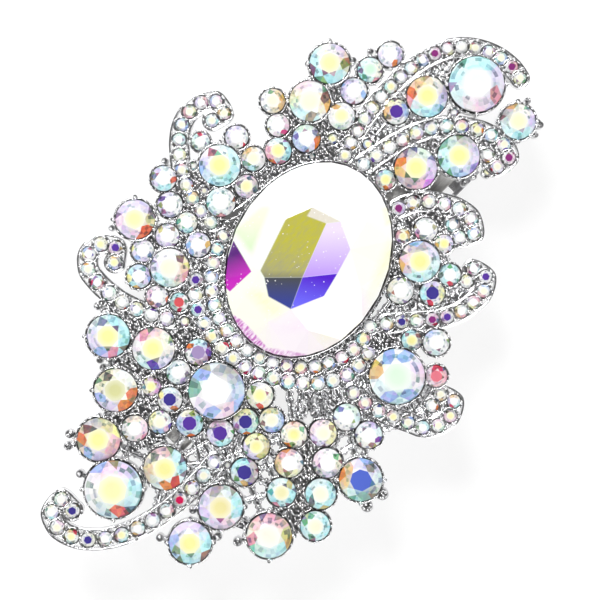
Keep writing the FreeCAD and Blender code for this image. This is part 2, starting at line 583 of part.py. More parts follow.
# Bow spring: an arched strip between two flat feet under the plate.
HALF_CHORD = f"(({SPRING_TO} - {SPRING_FROM}) / 2 - spring_foot)"
MIDDLE = f"(({SPRING_TO} + {SPRING_FROM}) / 2)"
BOW = f"(({HALF_CHORD} ^ 2 + spring_rise ^ 2) / (2 * spring_rise))"
ACROSS = ("-spring_width / 2", "spring_width")
bow_outer = rod("bow_outer", BOW, "spring_width", (MIDDLE, ACROSS[0], f"{CROWN} + {BOW}"), "Y")
bow_inner = rod("bow_inner", f"{BOW} - spring_thick", "spring_width",
                (MIDDLE, ACROSS[0], f"{CROWN} + {BOW}"), "Y")
bow_reach = box("bow_reach", (f"{MIDDLE} - {HALF_CHORD}", f"2 * {HALF_CHORD}"), ACROSS,
                (f"{CROWN} - {PAST}", f"{PLATE} - {CROWN} + {PAST}"))
bow_ring = doc.addObject("Part::Cut", "bow_ring")
bow_ring.Base, bow_ring.Tool = bow_outer, bow_inner
bow_strip = doc.addObject("Part::Common", "bow_strip")
bow_strip.Base, bow_strip.Tool = bow_ring, bow_reach
feet = [box("bow_foot", (x, "spring_foot + foot_tuck"), ACROSS,
            (f"{PLATE} - spring_thick", "spring_thick"))
        for x in (SPRING_FROM, f"{SPRING_TO} - spring_foot - foot_tuck")]
bow_spring = joined("bow_spring", [bow_strip] + feet)

# Catch: a folded strip riveted under the plate, with a hooked leg and a pinch tab on each side.
CATCH_SPAN = (f"{CATCH_X} - catch_length / 2", "catch_length")
FOLD_Y = "(catch_half + catch_thick / 2)"
FOLD_Z = f"({PLATE} - catch_thick / 2 - catch_play)"
LEG_FOOT = "(tongue_rise - leg_drop)"
SHELF_Z = "(tongue_rise + arm_thick + tab_rise)"
catch_strip = cut_from(
    "catch_strip",
    box("catch_flat", CATCH_SPAN, ("-catch_half + catch_play", "2 * (catch_half - catch_play)"),
        (f"{PLATE} - catch_thick", "catch_thick")),
    [rod("catch_hole", "rivet_radius + rivet_fit", f"catch_thick + 2 * {PAST}",
         (CATCH_X, "0", f"{PLATE} - catch_thick - {PAST}"))])
catch_rivet = joined("catch_rivet", [
    rod("catch_rivet_shank", "rivet_radius", "catch_thick + plate_thick",
        (CATCH_X, "0", f"{PLATE} - catch_thick")),
    rod("catch_rivet_cap", "rivet_head", "head_thick",
        (CATCH_X, "0", f"{PLATE} - catch_thick - head_thick"))])
tabs = []
LEG_OUTER = "(catch_half + catch_thick)"
for name, side in (("catch_tab_left", 0), ("catch_tab_right", 1)):
    leg = box(name + "_leg", CATCH_SPAN, both_sides("catch_half", "catch_thick")[side],
              (LEG_FOOT, f"{FOLD_Z} - {LEG_FOOT}"))
    fold = rod(name + "_fold", "catch_thick / 2", "catch_length",
               (CATCH_SPAN[0], ("" if side == 0 else "-") + FOLD_Y, FOLD_Z), "X")
    shelf = box(name + "_shelf", CATCH_SPAN, both_sides(LEG_OUTER, "tab_reach")[side],
                (SHELF_Z, "catch_thick"))
    grip = box(name + "_grip", (f"{CATCH_SPAN[0]} - grip_lap", "catch_length + 2 * grip_lap"),
               both_sides(f"{LEG_OUTER} + tab_reach", "catch_thick")[side],
               (f"{SHELF_Z} - grip_drop", "grip_height"))
    hook = doc.addObject("Part::Wedge", name + "_hook")
    hook.Placement = FreeCAD.Placement(Vector(0, 0, 0), FreeCAD.Rotation(Vector(1, 0, 0), 90))
    place(hook, CATCH_SPAN[0], ("" if side == 0 else "-") + LEG_OUTER, LEG_FOOT)
    out = "-" if side == 0 else ""
    low, high = ("Zmin", "Zmax") if side == 0 else ("Zmax", "Zmin")
    bind(hook, Xmin="0", Xmax="catch_length", X2min="0", X2max="catch_length", Ymin="0",
         Ymax=f"tongue_rise - catch_play - {LEG_FOOT}")
    bind(hook, **{low: out + "hook_blunt", high: "0", low.replace("Z", "Z2"): out + "hook_depth",
                  high.replace("Z", "Z2"): "0"})
    tabs.append(joined(name, [leg, fold, shelf, grip, hook]))

# ------------------------------------------------------------------------------ check and write
doc.recompute()
nodes = [casting] + stone_nodes + [base_plate, plate_rivets, hinge_pin, clasp_arm, bow_spring,
                                   catch_strip, catch_rivet] + tabs
for item in doc.Objects:
    if "Invalid" in item.State or "Error" in item.State:
        raise RuntimeError(f"{item.Label} failed: {item.State}")
for node in nodes:
    if node.Shape.isNull() or not node.Shape.isValid() or node.Shape.Volume <= 0:
        raise RuntimeError(f"{node.Label} has no sound shape")
if len(casting.Shape.Solids) != 1:
    raise RuntimeError(f"the casting came apart into {len(casting.Shape.Solids)} solids")
os.makedirs("parts", exist_ok=True)
for node in nodes:
    node.Shape.exportStep(f"parts/{node.Label}.step")
print(len(nodes), "nodes,", len(every_stone) + 1, "stones")
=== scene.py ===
# Rhinestone hair clip, put together piece by piece: the barrette behind it, the openwork casting,
# the stones from the smallest rows to the big oval, and last the table, lamps and camera.
import math
import random

import bmesh
import bpy
import numpy as np
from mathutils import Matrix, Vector


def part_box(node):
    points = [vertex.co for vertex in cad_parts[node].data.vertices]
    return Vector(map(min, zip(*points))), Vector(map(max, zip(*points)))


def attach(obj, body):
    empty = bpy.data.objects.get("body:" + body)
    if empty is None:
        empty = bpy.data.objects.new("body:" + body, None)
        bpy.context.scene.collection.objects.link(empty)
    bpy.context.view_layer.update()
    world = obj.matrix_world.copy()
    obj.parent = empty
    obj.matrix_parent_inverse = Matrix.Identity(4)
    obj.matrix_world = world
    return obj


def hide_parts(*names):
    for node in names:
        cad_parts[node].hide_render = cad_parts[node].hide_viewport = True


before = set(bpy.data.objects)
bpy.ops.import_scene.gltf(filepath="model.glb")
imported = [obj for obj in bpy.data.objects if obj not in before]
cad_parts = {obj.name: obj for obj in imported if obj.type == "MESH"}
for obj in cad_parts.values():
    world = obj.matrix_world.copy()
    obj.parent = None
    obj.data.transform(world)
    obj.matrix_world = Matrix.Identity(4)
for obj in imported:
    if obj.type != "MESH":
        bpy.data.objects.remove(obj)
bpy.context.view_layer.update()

# ------------------------------------------------------------------ the barrette's pressed steel
# The base plate and the clasp arm are stamped and folded from nickel-plated steel strip.  The
# strip's cut edges are rounded by tumbling before plating, and its drawn grain runs lengthways.
STRIP_EDGE = 0.00012
STRIP_GRAIN = (260.0, 5200.0, 2600.0)        # lines to the metre, along X, Y and Z
GRAIN_DEPTH = 0.00003
DULL_PATCHES = 160.0                          # to the metre
FLAT_WITHIN = math.radians(1)
ROUNDED_FROM = math.radians(35)               # edges sharper than this are rounded
CREASED_FROM = math.radians(50)
NICKEL = (0.70, 0.69, 0.67, 1.0)
NICKEL_WORN = (0.52, 0.51, 0.49, 1.0)


class Amount:
    """A number that varies over a surface; sums with it become Math nodes of its finish."""

    def __init__(self, finish, socket):
        self.finish = finish
        self.socket = socket

    def sum_with(self, operation, first, second):
        made = self.finish.node("ShaderNodeMath", {"operation": operation}, {0: first, 1: second})
        return Amount(self.finish, made.outputs[0])

    def __add__(self, other):
        return self.sum_with("ADD", self, other)

    def __sub__(self, other):
        return self.sum_with("SUBTRACT", self, other)

    def __rsub__(self, other):
        return self.sum_with("SUBTRACT", other, self)

    def __mul__(self, other):
        return self.sum_with("MULTIPLY", self, other)

    __radd__ = __add__
    __rmul__ = __mul__


class Finish:
    """A material built from nodes, round one Principled shader."""

    def __init__(self, name, **shader):
        self.material = bpy.data.materials.new(name)
        self.material.use_nodes = True
        self.nodes = self.material.node_tree.nodes
        self.shader = self.nodes["Principled BSDF"]
        self.paint(**shader)

    def feed(self, node, inputs):
        for key, value in inputs.items():
            value = value.socket if isinstance(value, Amount) else value
            if isinstance(value, bpy.types.NodeSocket):
                self.material.node_tree.links.new(value, node.inputs[key])
            else:
                node.inputs[key].default_value = value

    def node(self, kind, settings=None, inputs=None):
        made = self.nodes.new(kind)
        for key, value in (settings or {}).items():
            if key == "stops":
                ramp = made.color_ramp.elements
                while len(ramp) < len(value):
                    ramp.new(0.5)
                for stop, (place, colour) in zip(ramp, value):
                    stop.position, stop.color = place, colour
            else:
                setattr(made, key, value)
        self.feed(made, inputs or {})
        return made

    def amount(self, kind, settings=None, inputs=None, output=0):
        return Amount(self, self.node(kind, settings, inputs).outputs[output])

    def place(self, stretch=(1, 1, 1)):
        """Object coordinates, stretched."""
        at = self.node("ShaderNodeTexCoord").outputs["Object"]
        return self.node("ShaderNodeVectorMath", {"operation": "MULTIPLY"},
                         {0: at, 1: stretch}).outputs[0]

    def upward_part(self, vector):
        return self.node("ShaderNodeSeparateXYZ", None, {0: vector}).outputs["Z"]

    def blend(self, share, first, second):
        made = self.node("ShaderNodeMix", {"data_type": "RGBA"}, {0: share, 6: first, 7: second})
        return made.outputs[2]

    def limited(self, value, low, high):
        made = self.node("ShaderNodeMapRange", None,
                         {"Value": value, "From Min": low, "From Max": high})
        return Amount(self, made.outputs[0])

    def paint(self, **shader):
        self.feed(self.shader, {key.replace("_", " "): value for key, value in shader.items()})
        return self.material

    def bump(self, height, strength, distance):
        return self.node("ShaderNodeBump", None, {"Height": height, "Strength": strength,
                                                  "Distance": distance}).outputs[0]


def drawn_steel(name, grain, light, worn, roughness):
    """Plated strip: fine drawn lines along the grain, a little dulled in patches."""
    finish = Finish(name, Metallic=1.0)
    lines = finish.amount("ShaderNodeTexNoise", None,
                          {"Vector": finish.place(grain), "Scale": 1.0, "Detail": 4.0})
    patches = finish.amount("ShaderNodeTexNoise", None,
                            {"Vector": finish.place(), "Scale": DULL_PATCHES, "Detail": 3.0})
    dull = finish.limited(patches * 0.6 + lines * 0.4, 0.42, 0.68)
    return finish.paint(Base_Color=finish.blend(dull, light, worn),
                        Roughness=dull * 0.14 + lines * 0.10 + roughness,
                        Normal=finish.bump(lines, 0.25, GRAIN_DEPTH))


def add_piece(name, mesh, material, body, stands_for=()):
    """A finished piece of the clip, on its body, in its material slot."""
    piece = bpy.data.objects.new(name, mesh)
    bpy.context.scene.collection.objects.link(piece)
    mesh.materials.clear()
    mesh.materials.append(material)
    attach(piece, body)
    if stands_for:
        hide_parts(*stands_for)


def merged_copy(node):
    """The CAD node's surface as one joined mesh."""
    work = bmesh.new()
    work.from_mesh(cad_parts[node].data)
    bmesh.ops.remove_doubles(work, verts=work.verts, dist=1e-6)
    return work


def plain_mesh(carrier):
    """What an object's modifiers make of it, as a mesh of its own; the carrier is removed."""
    depsgraph = bpy.context.evaluated_depsgraph_get()
    mesh = bpy.data.meshes.new_from_object(carrier.evaluated_get(depsgraph))
    bpy.data.objects.remove(carrier)
    return mesh


def rounded_edges(rough, edge):
    """A mesh with its sharp edges rounded."""
    carrier = bpy.data.objects.new(rough.name + "_carrier", rough)
    bpy.context.scene.collection.objects.link(carrier)
    rounding = carrier.modifiers.new("rounding", "BEVEL")
    rounding.width = edge
    rounding.segments = 2
    rounding.limit_method = "ANGLE"
    rounding.angle_limit = ROUNDED_FROM
    mesh = plain_mesh(carrier)
    mesh.shade_smooth()
    mesh.set_sharp_from_angle(angle=CREASED_FROM)
    return mesh


def softened(node, edge):
    """A CAD node with its flat faces made whole and its sharp edges rounded."""
    work = merged_copy(node)
    bmesh.ops.dissolve_limit(work, angle_limit=FLAT_WITHIN, verts=work.verts, edges=work.edges)
    rough = bpy.data.meshes.new(node + "_rough")
    work.to_mesh(rough)
    work.free()
    return rounded_edges(rough, edge)


plate_finish = drawn_steel("nickel_strip", STRIP_GRAIN, NICKEL, NICKEL_WORN, 0.32)
for node, name, body in (("clip_base_plate", "folded_base_plate", "ornament"),
                         ("clasp_arm", "folded_clasp_arm", "clasp_arm")):
    add_piece(name, softened(node, STRIP_EDGE), plate_finish, body, [node])

# ----------------------------------------------------------------------- the barrette's springs
# The bow, the catch strip and its two pinch tabs are hard-rolled spring strip, greyer than the
# plate.  The bow snaps into the plate's lips; the catch is riveted under the plate.
SPRING_EDGE = 0.00006
SPRING_GREY = (0.58, 0.58, 0.60, 1.0)
SPRING_DULL = (0.40, 0.40, 0.42, 1.0)
SPRING_GRAIN = (420.0, 8200.0, 4100.0)
spring_finish = drawn_steel("spring_strip", SPRING_GRAIN, SPRING_GREY, SPRING_DULL, 0.2)
for node, name, body in (("bow_spring", "rolled_bow_spring", "ornament"),
                         ("catch_strip", "folded_catch_strip", "ornament"),
                         ("catch_tab_left", "left_pinch_tab", "catch_tab_left"),
                         ("catch_tab_right", "right_pinch_tab", "catch_tab_right")):
    add_piece(name, softened(node, SPRING_EDGE), spring_finish, body, [node])

# ------------------------------------------------------------------------- hinge pin and rivets
# Turned brass, bright plated: the pin is headed over both ears, and the rivets clinch the plate
# to the back of the casting and the catch to the plate.
PIN_EDGE = 0.00010
PIN_BRIGHT = (0.78, 0.77, 0.75, 1.0)
PIN_DULL = (0.60, 0.59, 0.57, 1.0)
PIN_GRAIN = (900.0, 900.0, 900.0)
pin_finish = drawn_steel("headed_pins", PIN_GRAIN, PIN_BRIGHT, PIN_DULL, 0.12)
for node, name in (("hinge_pin", "headed_hinge_pin"), ("plate_rivets", "clinched_plate_rivets"),
                   ("catch_rivet", "clinched_catch_rivet")):
    add_piece(name, softened(node, PIN_EDGE), pin_finish, "ornament", [node])

# ------------------------------------------------------------------------ the openwork casting
# Zinc alloy cast in one piece with its seats and claws, then rhodium plated.  Raised rims and
# walls take the bright plate; down towards the floor between the seats, where the cast skin is
# pitted, the colour darkens as painted shade.
RHODIUM = (0.93, 0.93, 0.94, 1.0)
# The next three colours are painted shade: the plate low down, on sideways faces, and between the
# grains.
RHODIUM_SHADE = (0.20, 0.20, 0.205, 1.0)
RHODIUM_SIDE_SHADE = (0.74, 0.74, 0.75, 1.0)
PITTED_SHADE = (0.13, 0.13, 0.132, 1.0)
SKIN_FLOW, SKIN_DEPTH = 1100.0, 0.00015       # to the metre, and in metres
GRAINS, GRAIN_FLOW, PIT_DEPTH = 2300.0, 1300.0, 0.0002
BACK_LAYER = 0.0013                           # solid metal under the seats
SEAT_WALL = 0.0010                            # height of the walls round a seat
SEAT_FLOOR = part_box("openwork_casting")[0].z + BACK_LAYER
SEAT_RIM = SEAT_FLOOR + SEAT_WALL


def cast_metal(name, floor, rim, low_shade_colour):
    """Bright plate that darkens towards the seat floor as painted shade, with tarnish in patches.
    """
    finish = Finish(name, Metallic=1.0)
    # Painted shade: the colour darkens from the rim's height down to the floor's, as shade in the
    # recesses would.
    raised = finish.limited(finish.upward_part(finish.place()), floor, rim)
    flow = finish.amount("ShaderNodeTexNoise", None,
                         {"Vector": finish.place(), "Scale": SKIN_FLOW, "Detail": 4.0})
    # The share of bright plate: painted shade by height, with random tarnish patches.
    wear_and_painted_light = finish.limited(raised * 0.75 + flow * 1.9 - 0.9, 0.0, 0.7)
    return finish.paint(Base_Color=finish.blend(wear_and_painted_light, low_shade_colour, RHODIUM),
                        Roughness=0.24 - wear_and_painted_light * 0.14,
                        Normal=finish.bump(flow, 0.35, SKIN_DEPTH))


def grained_metal(name, floor, rim):
    """The open top of the casting: bright grains standing out of a pitted skin that is painted
    dark as shade, between the grains and down on the floor.
    """
    finish = Finish(name, Metallic=1.0)
    raised = finish.limited(finish.upward_part(finish.place()), floor, rim)
    cells = finish.amount("ShaderNodeTexVoronoi", None,
                          {"Vector": finish.place(), "Scale": GRAINS})
    flow = finish.amount("ShaderNodeTexNoise", None,
                         {"Vector": finish.place(), "Scale": GRAIN_FLOW, "Detail": 3.0})
    # Painted shade: the plate is bright only on high ground, on the grains' crowns and in patches;
    # the skin between the grains and the floor take the dark shade colour.
    grain = finish.limited(cells, 0.52, 0.10)
    patch = finish.limited(flow, 0.36, 0.52)
    wear_and_painted_light = raised * grain * patch
    # Faces turned sideways are painted one plain grey, a shaded copy of the plate, in place of the
    # grained top.
    facing = finish.node("ShaderNodeNewGeometry").outputs["Normal"]
    upward = finish.limited(finish.upward_part(facing), 0.35, 0.75)
    grained = finish.blend(wear_and_painted_light, PITTED_SHADE, RHODIUM)
    return finish.paint(Base_Color=finish.blend(upward, RHODIUM_SIDE_SHADE, grained),
                        Roughness=0.34 - wear_and_painted_light * 0.2,
                        Normal=finish.bump(grain * 0.6 + flow * 0.4, 0.7, PIT_DEPTH))


FLOOR_SLACK = 0.0001
casting_finish = grained_metal("rhodium_casting", SEAT_FLOOR - FLOOR_SLACK, SEAT_RIM)
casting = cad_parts["openwork_casting"]
casting.data.materials.clear()
casting.data.materials.append(casting_finish)

# ---------------------------------------------------------------------- how the stones lie
# Every stone is a cut crystal in a seat of its own.  Each CAD solid gives its middle, its radius
# and the height of its foot, so that the cut stones sit just where their seats are.
# A cut's reaches and heights are shares of the stone's radius.
SMALL_CUT = {"sides": 6, "foot": 0.45, "girdle": 0.78, "crown": 0.50, "table": 0.55}
MEDIUM_CUT = {"sides": 8, "foot": 0.40, "girdle": 0.70, "crown": 0.45, "table": 0.52}
LARGE_CUT = {"sides": 8, "foot": 0.38, "girdle": 0.60, "crown": 0.42, "table": 0.50}


def stones_in(node):
    """(middle x, middle y, radius, foot height) of every stone of a CAD node."""
    work = merged_copy(node)
    found = []
    left = set(work.verts)
    while left:
        island = {left.pop()}
        edge = list(island)
        while edge:
            vertex = edge.pop()
            for link in vertex.link_edges:
                other = link.other_vert(vertex)
                if other in left:
                    left.discard(other)
                    island.add(other)
                    edge.append(other)
        places = np.array([v.co for v in island])
        middle = (places.min(0) + places.max(0)) / 2
        reach = np.hypot(*(places[:, :2] - middle[:2]).T).max()
        found.append(tuple(map(float, (middle[0], middle[1], reach, places[:, 2].min()))))
    work.free()
    return sorted(found)


stone_nodes = [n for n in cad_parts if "stone" in n and n != "oval_stone"]
groups = {node: stones_in(node) for node in sorted(stone_nodes)}


def cut_for(node):
    if node.startswith("small"):
        return SMALL_CUT
    return MEDIUM_CUT if node.startswith("medium") else LARGE_CUT


# ------------------------------------------------------------------------ rims round the seats
# A bright thread of metal runs round every seat, where the casting is burnished over the girdle.
# It is part of the casting, and is laid here as a round ring on the wall's top edge.
RIM_THREAD = 0.00009
RIM_OUT = 0.00017


def seats(pick):
    return [(x, y, reach, foot, cut_for(node)) for node, stones in groups.items()
            for x, y, reach, foot in stones if pick(node)]


def points_mesh(name, rows):
    """A mesh of bare points, with an attribute for each further number of a row."""
    mesh = bpy.data.meshes.new(name)
    mesh.from_pydata([row["at"] for row in rows], [], [])
    for key, first in rows[0].items():
        if isinstance(first, float):
            values = mesh.attributes.new(key, "FLOAT", "POINT")
            values.data.foreach_set("value", [row[key] for row in rows])
    return mesh


class Growth:
    """A Geometry Nodes tree with named inputs, grown from one object into a plain mesh."""

    def __init__(self, name, **inputs):
        self.tree = bpy.data.node_groups.new(name, "GeometryNodeTree")
        face = self.tree.interface
        face.new_socket("Geometry", in_out="INPUT", socket_type="NodeSocketGeometry")
        face.new_socket("Geometry", in_out="OUTPUT", socket_type="NodeSocketGeometry")
        kinds = {float: "NodeSocketFloat", int: "NodeSocketInt"}
        for key, value in inputs.items():
            kind = kinds.get(type(value), "NodeSocketObject")
            made = face.new_socket(key, in_out="INPUT", socket_type=kind)
            if kind != "NodeSocketObject":
                made.default_value = value
        self.given = inputs
        self.start = self.tree.nodes.new("NodeGroupInput")

    def node(self, kind, settings=None, inputs=None):
        made = self.tree.nodes.new(kind)
        for key, value in (settings or {}).items():
            setattr(made, key, value)
        for key, value in (inputs or {}).items():
            if isinstance(value, bpy.types.NodeSocket):
                self.tree.links.new(value, made.inputs[key])
            else:
                made.inputs[key].default_value = value
        return made

    def size(self, name):
        return self.start.outputs[name]

    def named(self, attribute):
        return self.node("GeometryNodeInputNamedAttribute", {"data_type": "FLOAT"},
                         {"Name": attribute}).outputs["Attribute"]

    def lines(self, mesh):
        return self.node("GeometryNodeMeshToCurve", None, {0: mesh}).outputs[0]

    def tube(self, lines, radius, corners, **ends):
        """A round tube along lines."""
        section = self.node("GeometryNodeCurvePrimitiveCircle", None,
                            {"Resolution": corners, "Radius": radius})
        return self.node("GeometryNodeCurveToMesh", None,
                         {"Curve": lines, "Profile Curve": section.outputs[0], **ends}).outputs[0]

    def laid(self, points, piece, scale, **turn):
        """A copy of a piece on every point, each at its own scale."""
        return self.node("GeometryNodeInstanceOnPoints", None,
                         {"Points": points, "Instance": piece, "Scale": scale,
                          **turn}).outputs[0]

    def grow(self, source, made, material, smooth=True):
        """End the tree, run it on a mesh and give the grown mesh back."""
        if smooth:
            made = self.node("GeometryNodeSetShadeSmooth", None, {0: made}).outputs[0]
        whole = self.node("GeometryNodeRealizeInstances", None, {0: made}).outputs[0]
        dressed = self.node("GeometryNodeSetMaterial", None,
                            {"Geometry": whole, "Material": material}).outputs[0]
        end = self.tree.nodes.new("NodeGroupOutput")
        self.tree.links.new(dressed, end.inputs[0])
        carrier = bpy.data.objects.new(source.name + "_carrier", source)
        bpy.context.scene.collection.objects.link(carrier)
        grower = carrier.modifiers.new("grow", "NODES")
        grower.node_group = self.tree
        for item in self.tree.interface.items_tree:
            if item.in_out == "INPUT" and item.name in self.given:
                grower[item.identifier] = self.given[item.name]
        return plain_mesh(carrier)


def add_metalwork(name, mesh, finish):
    """A piece that is part of the plated casting."""
    add_piece(name, mesh, finish, "ornament")


LARGE_WALL = 0.0017                           # height of the wall round a large stone
SEAT_PLAY = 0.00005
RIM_SINK = 0.00003                            # how deep a thread lies in its wall
THREAD_STEPS = 28
rim_rows = []
for x, y, reach, foot, cut in seats(lambda node: True):
    rim_top = foot + (LARGE_WALL if cut is LARGE_CUT else SEAT_WALL)
    rim_rows.append({"at": (x, y, rim_top - RIM_SINK), "reach": reach + SEAT_PLAY + RIM_OUT})
# The rims' finish carries painted shade below the rim's height, so the shot, claws and bezel that
# share it are painted darker low down.
rim_finish = cast_metal("burnished_rim", SEAT_RIM - 0.0004, SEAT_RIM, RHODIUM_SHADE)
growth = Growth("ring_threads", thread=RIM_THREAD)
ring = growth.node("GeometryNodeMeshCircle", None, {"Vertices": THREAD_STEPS, "Radius": 1.0})
rings = growth.laid(growth.size("Geometry"), ring.outputs[0], growth.named("reach"))
loose = growth.node("GeometryNodeRealizeInstances", None, {0: rings})
threads = growth.tube(growth.lines(loose.outputs[0]), growth.size("thread"), 6)
add_metalwork("burnished_seat_rims",
              growth.grow(points_mesh("ring_places", rim_rows), threads, rim_finish), rim_finish)

# -------------------------------------------------------------------- rails along the scrolls
# The rows of small stones that curl out from the body lie in a channel: a smooth wall, plated
# bright, runs round each row and ties its seats together.
RAIL_OUT = 0.00036
RAIL_WIDE = 0.00034
RAIL_DROP = 0.0021
RAIL_RISE = 0.00002                           # above the rims of the seats
RAIL_SHADE = (0.30, 0.30, 0.31, 1.0)
RAIL_ROUND = 0.42                             # share of its width that a rail's edges are rounded
RAILED = ["left_tail", "bottom_crook", "lower_right_scroll", "right_hook", "right_curl",
          "right_rim", "upper_left_scroll", "top_scroll"]


def in_order(stones):
    """A row's stones one after another, from the end that gives the shortest steps."""
    best = None
    for start in stones:
        chain, left = [start], [stone for stone in stones if stone is not start]
        while left:
            here = chain[-1]
            chain.append(min(left, key=lambda s: math.hypot(s[0] - here[0], s[1] - here[1])))
            left.remove(chain[-1])
        longest = max(math.hypot(a[0] - b[0], a[1] - b[1]) for a, b in zip(chain, chain[1:]))
        if best is None or longest < best[0]:
            best = (longest, chain)
    return best[1]


def outline_of(row):
    """Points round a row of stones, at the rail's distance, both sides and round both ends."""
    line = [Vector(stone[:2]) for stone in row]
    out = row[0][2] + RAIL_OUT
    sides = ([], [])
    for i, here in enumerate(line):
        along = (line[min(i + 1, len(line) - 1)] - line[max(i - 1, 0)]).normalized()
        across = Vector((-along.y, along.x))
        for side, sign in zip(sides, (1, -1)):
            side.append(here + across * sign * out)
    caps = []
    for end, inner in ((line[-1], line[-2]), (line[0], line[1])):
        start = math.atan2(*(end - inner).yx)
        caps.append([end + out * Vector((math.cos(start + t), math.sin(start + t)))
                     for t in (math.pi / 4, 0, -math.pi / 4)])
    return sides[0] + caps[0] + sides[1][::-1] + caps[1]


rail_mesh = bpy.data.meshes.new("rail_lines")
rail_points, rail_edges = [], []
for name in RAILED:
    loop = outline_of(in_order(groups["small_stones_" + name]))
    start = len(rail_points)
    rail_points += [(p.x, p.y, SEAT_RIM - RAIL_DROP / 2 + RAIL_RISE) for p in loop]
    rail_edges += [(start + i, start + (i + 1) % len(loop)) for i in range(len(loop))]
rail_mesh.from_pydata(rail_points, rail_edges, [])
growth = Growth("channel_rails", width=RAIL_WIDE, height=RAIL_DROP)
spline = growth.node("GeometryNodeCurveSplineType", {"spline_type": "CATMULL_ROM"},
                     {"Curve": growth.lines(growth.size("Geometry"))})
upright = growth.node("GeometryNodeSetCurveNormal", {"mode": "Z_UP"}, {"Curve": spline.outputs[0]})
section = growth.node("GeometryNodeCurvePrimitiveQuadrilateral", None,
                      {"Width": growth.size("width"), "Height": growth.size("height")})
rounded = growth.node("GeometryNodeFilletCurve", {"mode": "POLY"},
                      {"Curve": section.outputs[0], "Radius": RAIL_WIDE * RAIL_ROUND, "Count": 3})
wall = growth.node("GeometryNodeCurveToMesh", None,
                   {"Curve": upright.outputs[0], "Profile Curve": rounded.outputs[0]})
# The rail carries painted shade towards its foot.
rail_finish = cast_metal("channel_rail", SEAT_FLOOR - 0.0012, SEAT_RIM - 0.0003, RAIL_SHADE)
add_metalwork("scroll_rails", growth.grow(rail_mesh, wall.outputs[0], rail_finish), rail_finish)

# --------------------------------------------------------------------------- cast shot and claws
# Between the seats the wax model was dressed with fine shot, which is cast with the frame; the
# claws are rounded over the girdles of the larger stones.
CLAW_TIP = 0.00036
CLAW_OUT = 0.00022                            # from the girdle to the middle of a claw
CLAW_RISE = 0.0003                            # above the girdle
CLAW_SHARE = {"medium": 0.6, "large": 0.85}   # of the tip's size, by the stone that it holds
SHOT = (("cast_shot", 0.00030, 0.00078, 11), ("fine_cast_shot", 0.00019, 0.00048, 23))
MOST_SHOT = 6.0e6                             # to the square metre


def balls_scattered(growth, mesh, faceting, smallest, largest):
    """Balls of the tree's shot size over a mesh, no nearer to each other than its spacing."""
    spread = growth.node("GeometryNodeDistributePointsOnFaces", {"distribute_method": "POISSON"},
                         {"Mesh": mesh, "Distance Min": growth.size("spacing"),
                          "Density Max": MOST_SHOT, "Seed": growth.size("seed")})
    ball = growth.node("GeometryNodeMeshIcoSphere", None,
                       {"Radius": growth.size("shot"), "Subdivisions": faceting})
    varied = growth.node("FunctionNodeRandomValue", {"data_type": "FLOAT"},
                         {"Min": smallest, "Max": largest, "Seed": growth.size("seed")})
    return growth.laid(spread.outputs[0], ball.outputs[0], varied.outputs[1])


work = merged_copy("openwork_casting")
bare = [face for face in work.faces
        if face.normal.z < 0.7 or not SEAT_FLOOR - FLOOR_SLACK < face.calc_center_median().z]
bmesh.ops.delete(work, geom=bare, context="FACES")
open_tops = bpy.data.meshes.new("open_tops")
work.to_mesh(open_tops)
work.free()
for name, shot, spacing, seed in SHOT:
    growth = Growth(name, shot=shot, spacing=spacing, seed=seed)
    balls = balls_scattered(growth, growth.size("Geometry"), 1, 0.5, 1.15)
    add_metalwork(name, growth.grow(open_tops.copy(), balls, rim_finish), rim_finish)

claw_rows = []
every_seat = seats(lambda node: True)
for x, y, reach, foot, cut in seats(lambda node: not node.startswith("small")):
    share = CLAW_SHARE["medium" if cut is MEDIUM_CUT else "large"]
    top = foot + cut["girdle"] * reach + CLAW_RISE
    for turn in range(45, 405, 90):
        cx = x + (reach + CLAW_OUT) * math.cos(math.radians(turn))
        cy = y + (reach + CLAW_OUT) * math.sin(math.radians(turn))
        if all(math.hypot(cx - a, cy - b) > r + share * CLAW_TIP for a, b, r, _, _ in every_seat
               if (a, b) != (x, y)):
            claw_rows.append({"at": (cx, cy, top), "reach": share})
growth = Growth("claw_tips", tip=CLAW_TIP)
ball = growth.node("GeometryNodeMeshIcoSphere", None,
                   {"Radius": growth.size("tip"), "Subdivisions": 2})
claws = growth.laid(growth.size("Geometry"), ball.outputs[0], growth.named("reach"))
add_metalwork("rounded_claw_tips",
              growth.grow(points_mesh("claw_places", claw_rows), claws, rim_finish), rim_finish)

# ------------------------------------------------------------------------- webs across the gaps
# Where the clusters stand apart, knobbly webs of the same casting run from seat to seat and tie
# them together.  They grew from wax threads laid between the seats, dressed with shot.
WEB_THICK = 0.00046
WEB_SHOT = 0.00030
WEB_REACH = (0.00025, 0.0056)        # the shortest and longest gap that a web crosses
WEB_ROOM = 0.00010                   # least room that a web leaves to a seat it passes
WEB_TUCK = 0.00010                   # how far a web starts outside its stone
WEB_SINK = 0.00020                   # below the foot of the stones
WEB_SPACING = 0.00058
WEBBED = [(-33.5, -19.0, -9.5, 3.0), (-29.0, -14.5, -20.0, -8.5), (-14.0, 4.5, -25.5, -10.0),
          (5.0, 21.5, -18.0, -6.0), (20.0, 33.0, 4.5, 11.0),
          (32.0, 44.5, 6.5, 11.5)]   # low, high x and low, high y of each gap, in millimetres


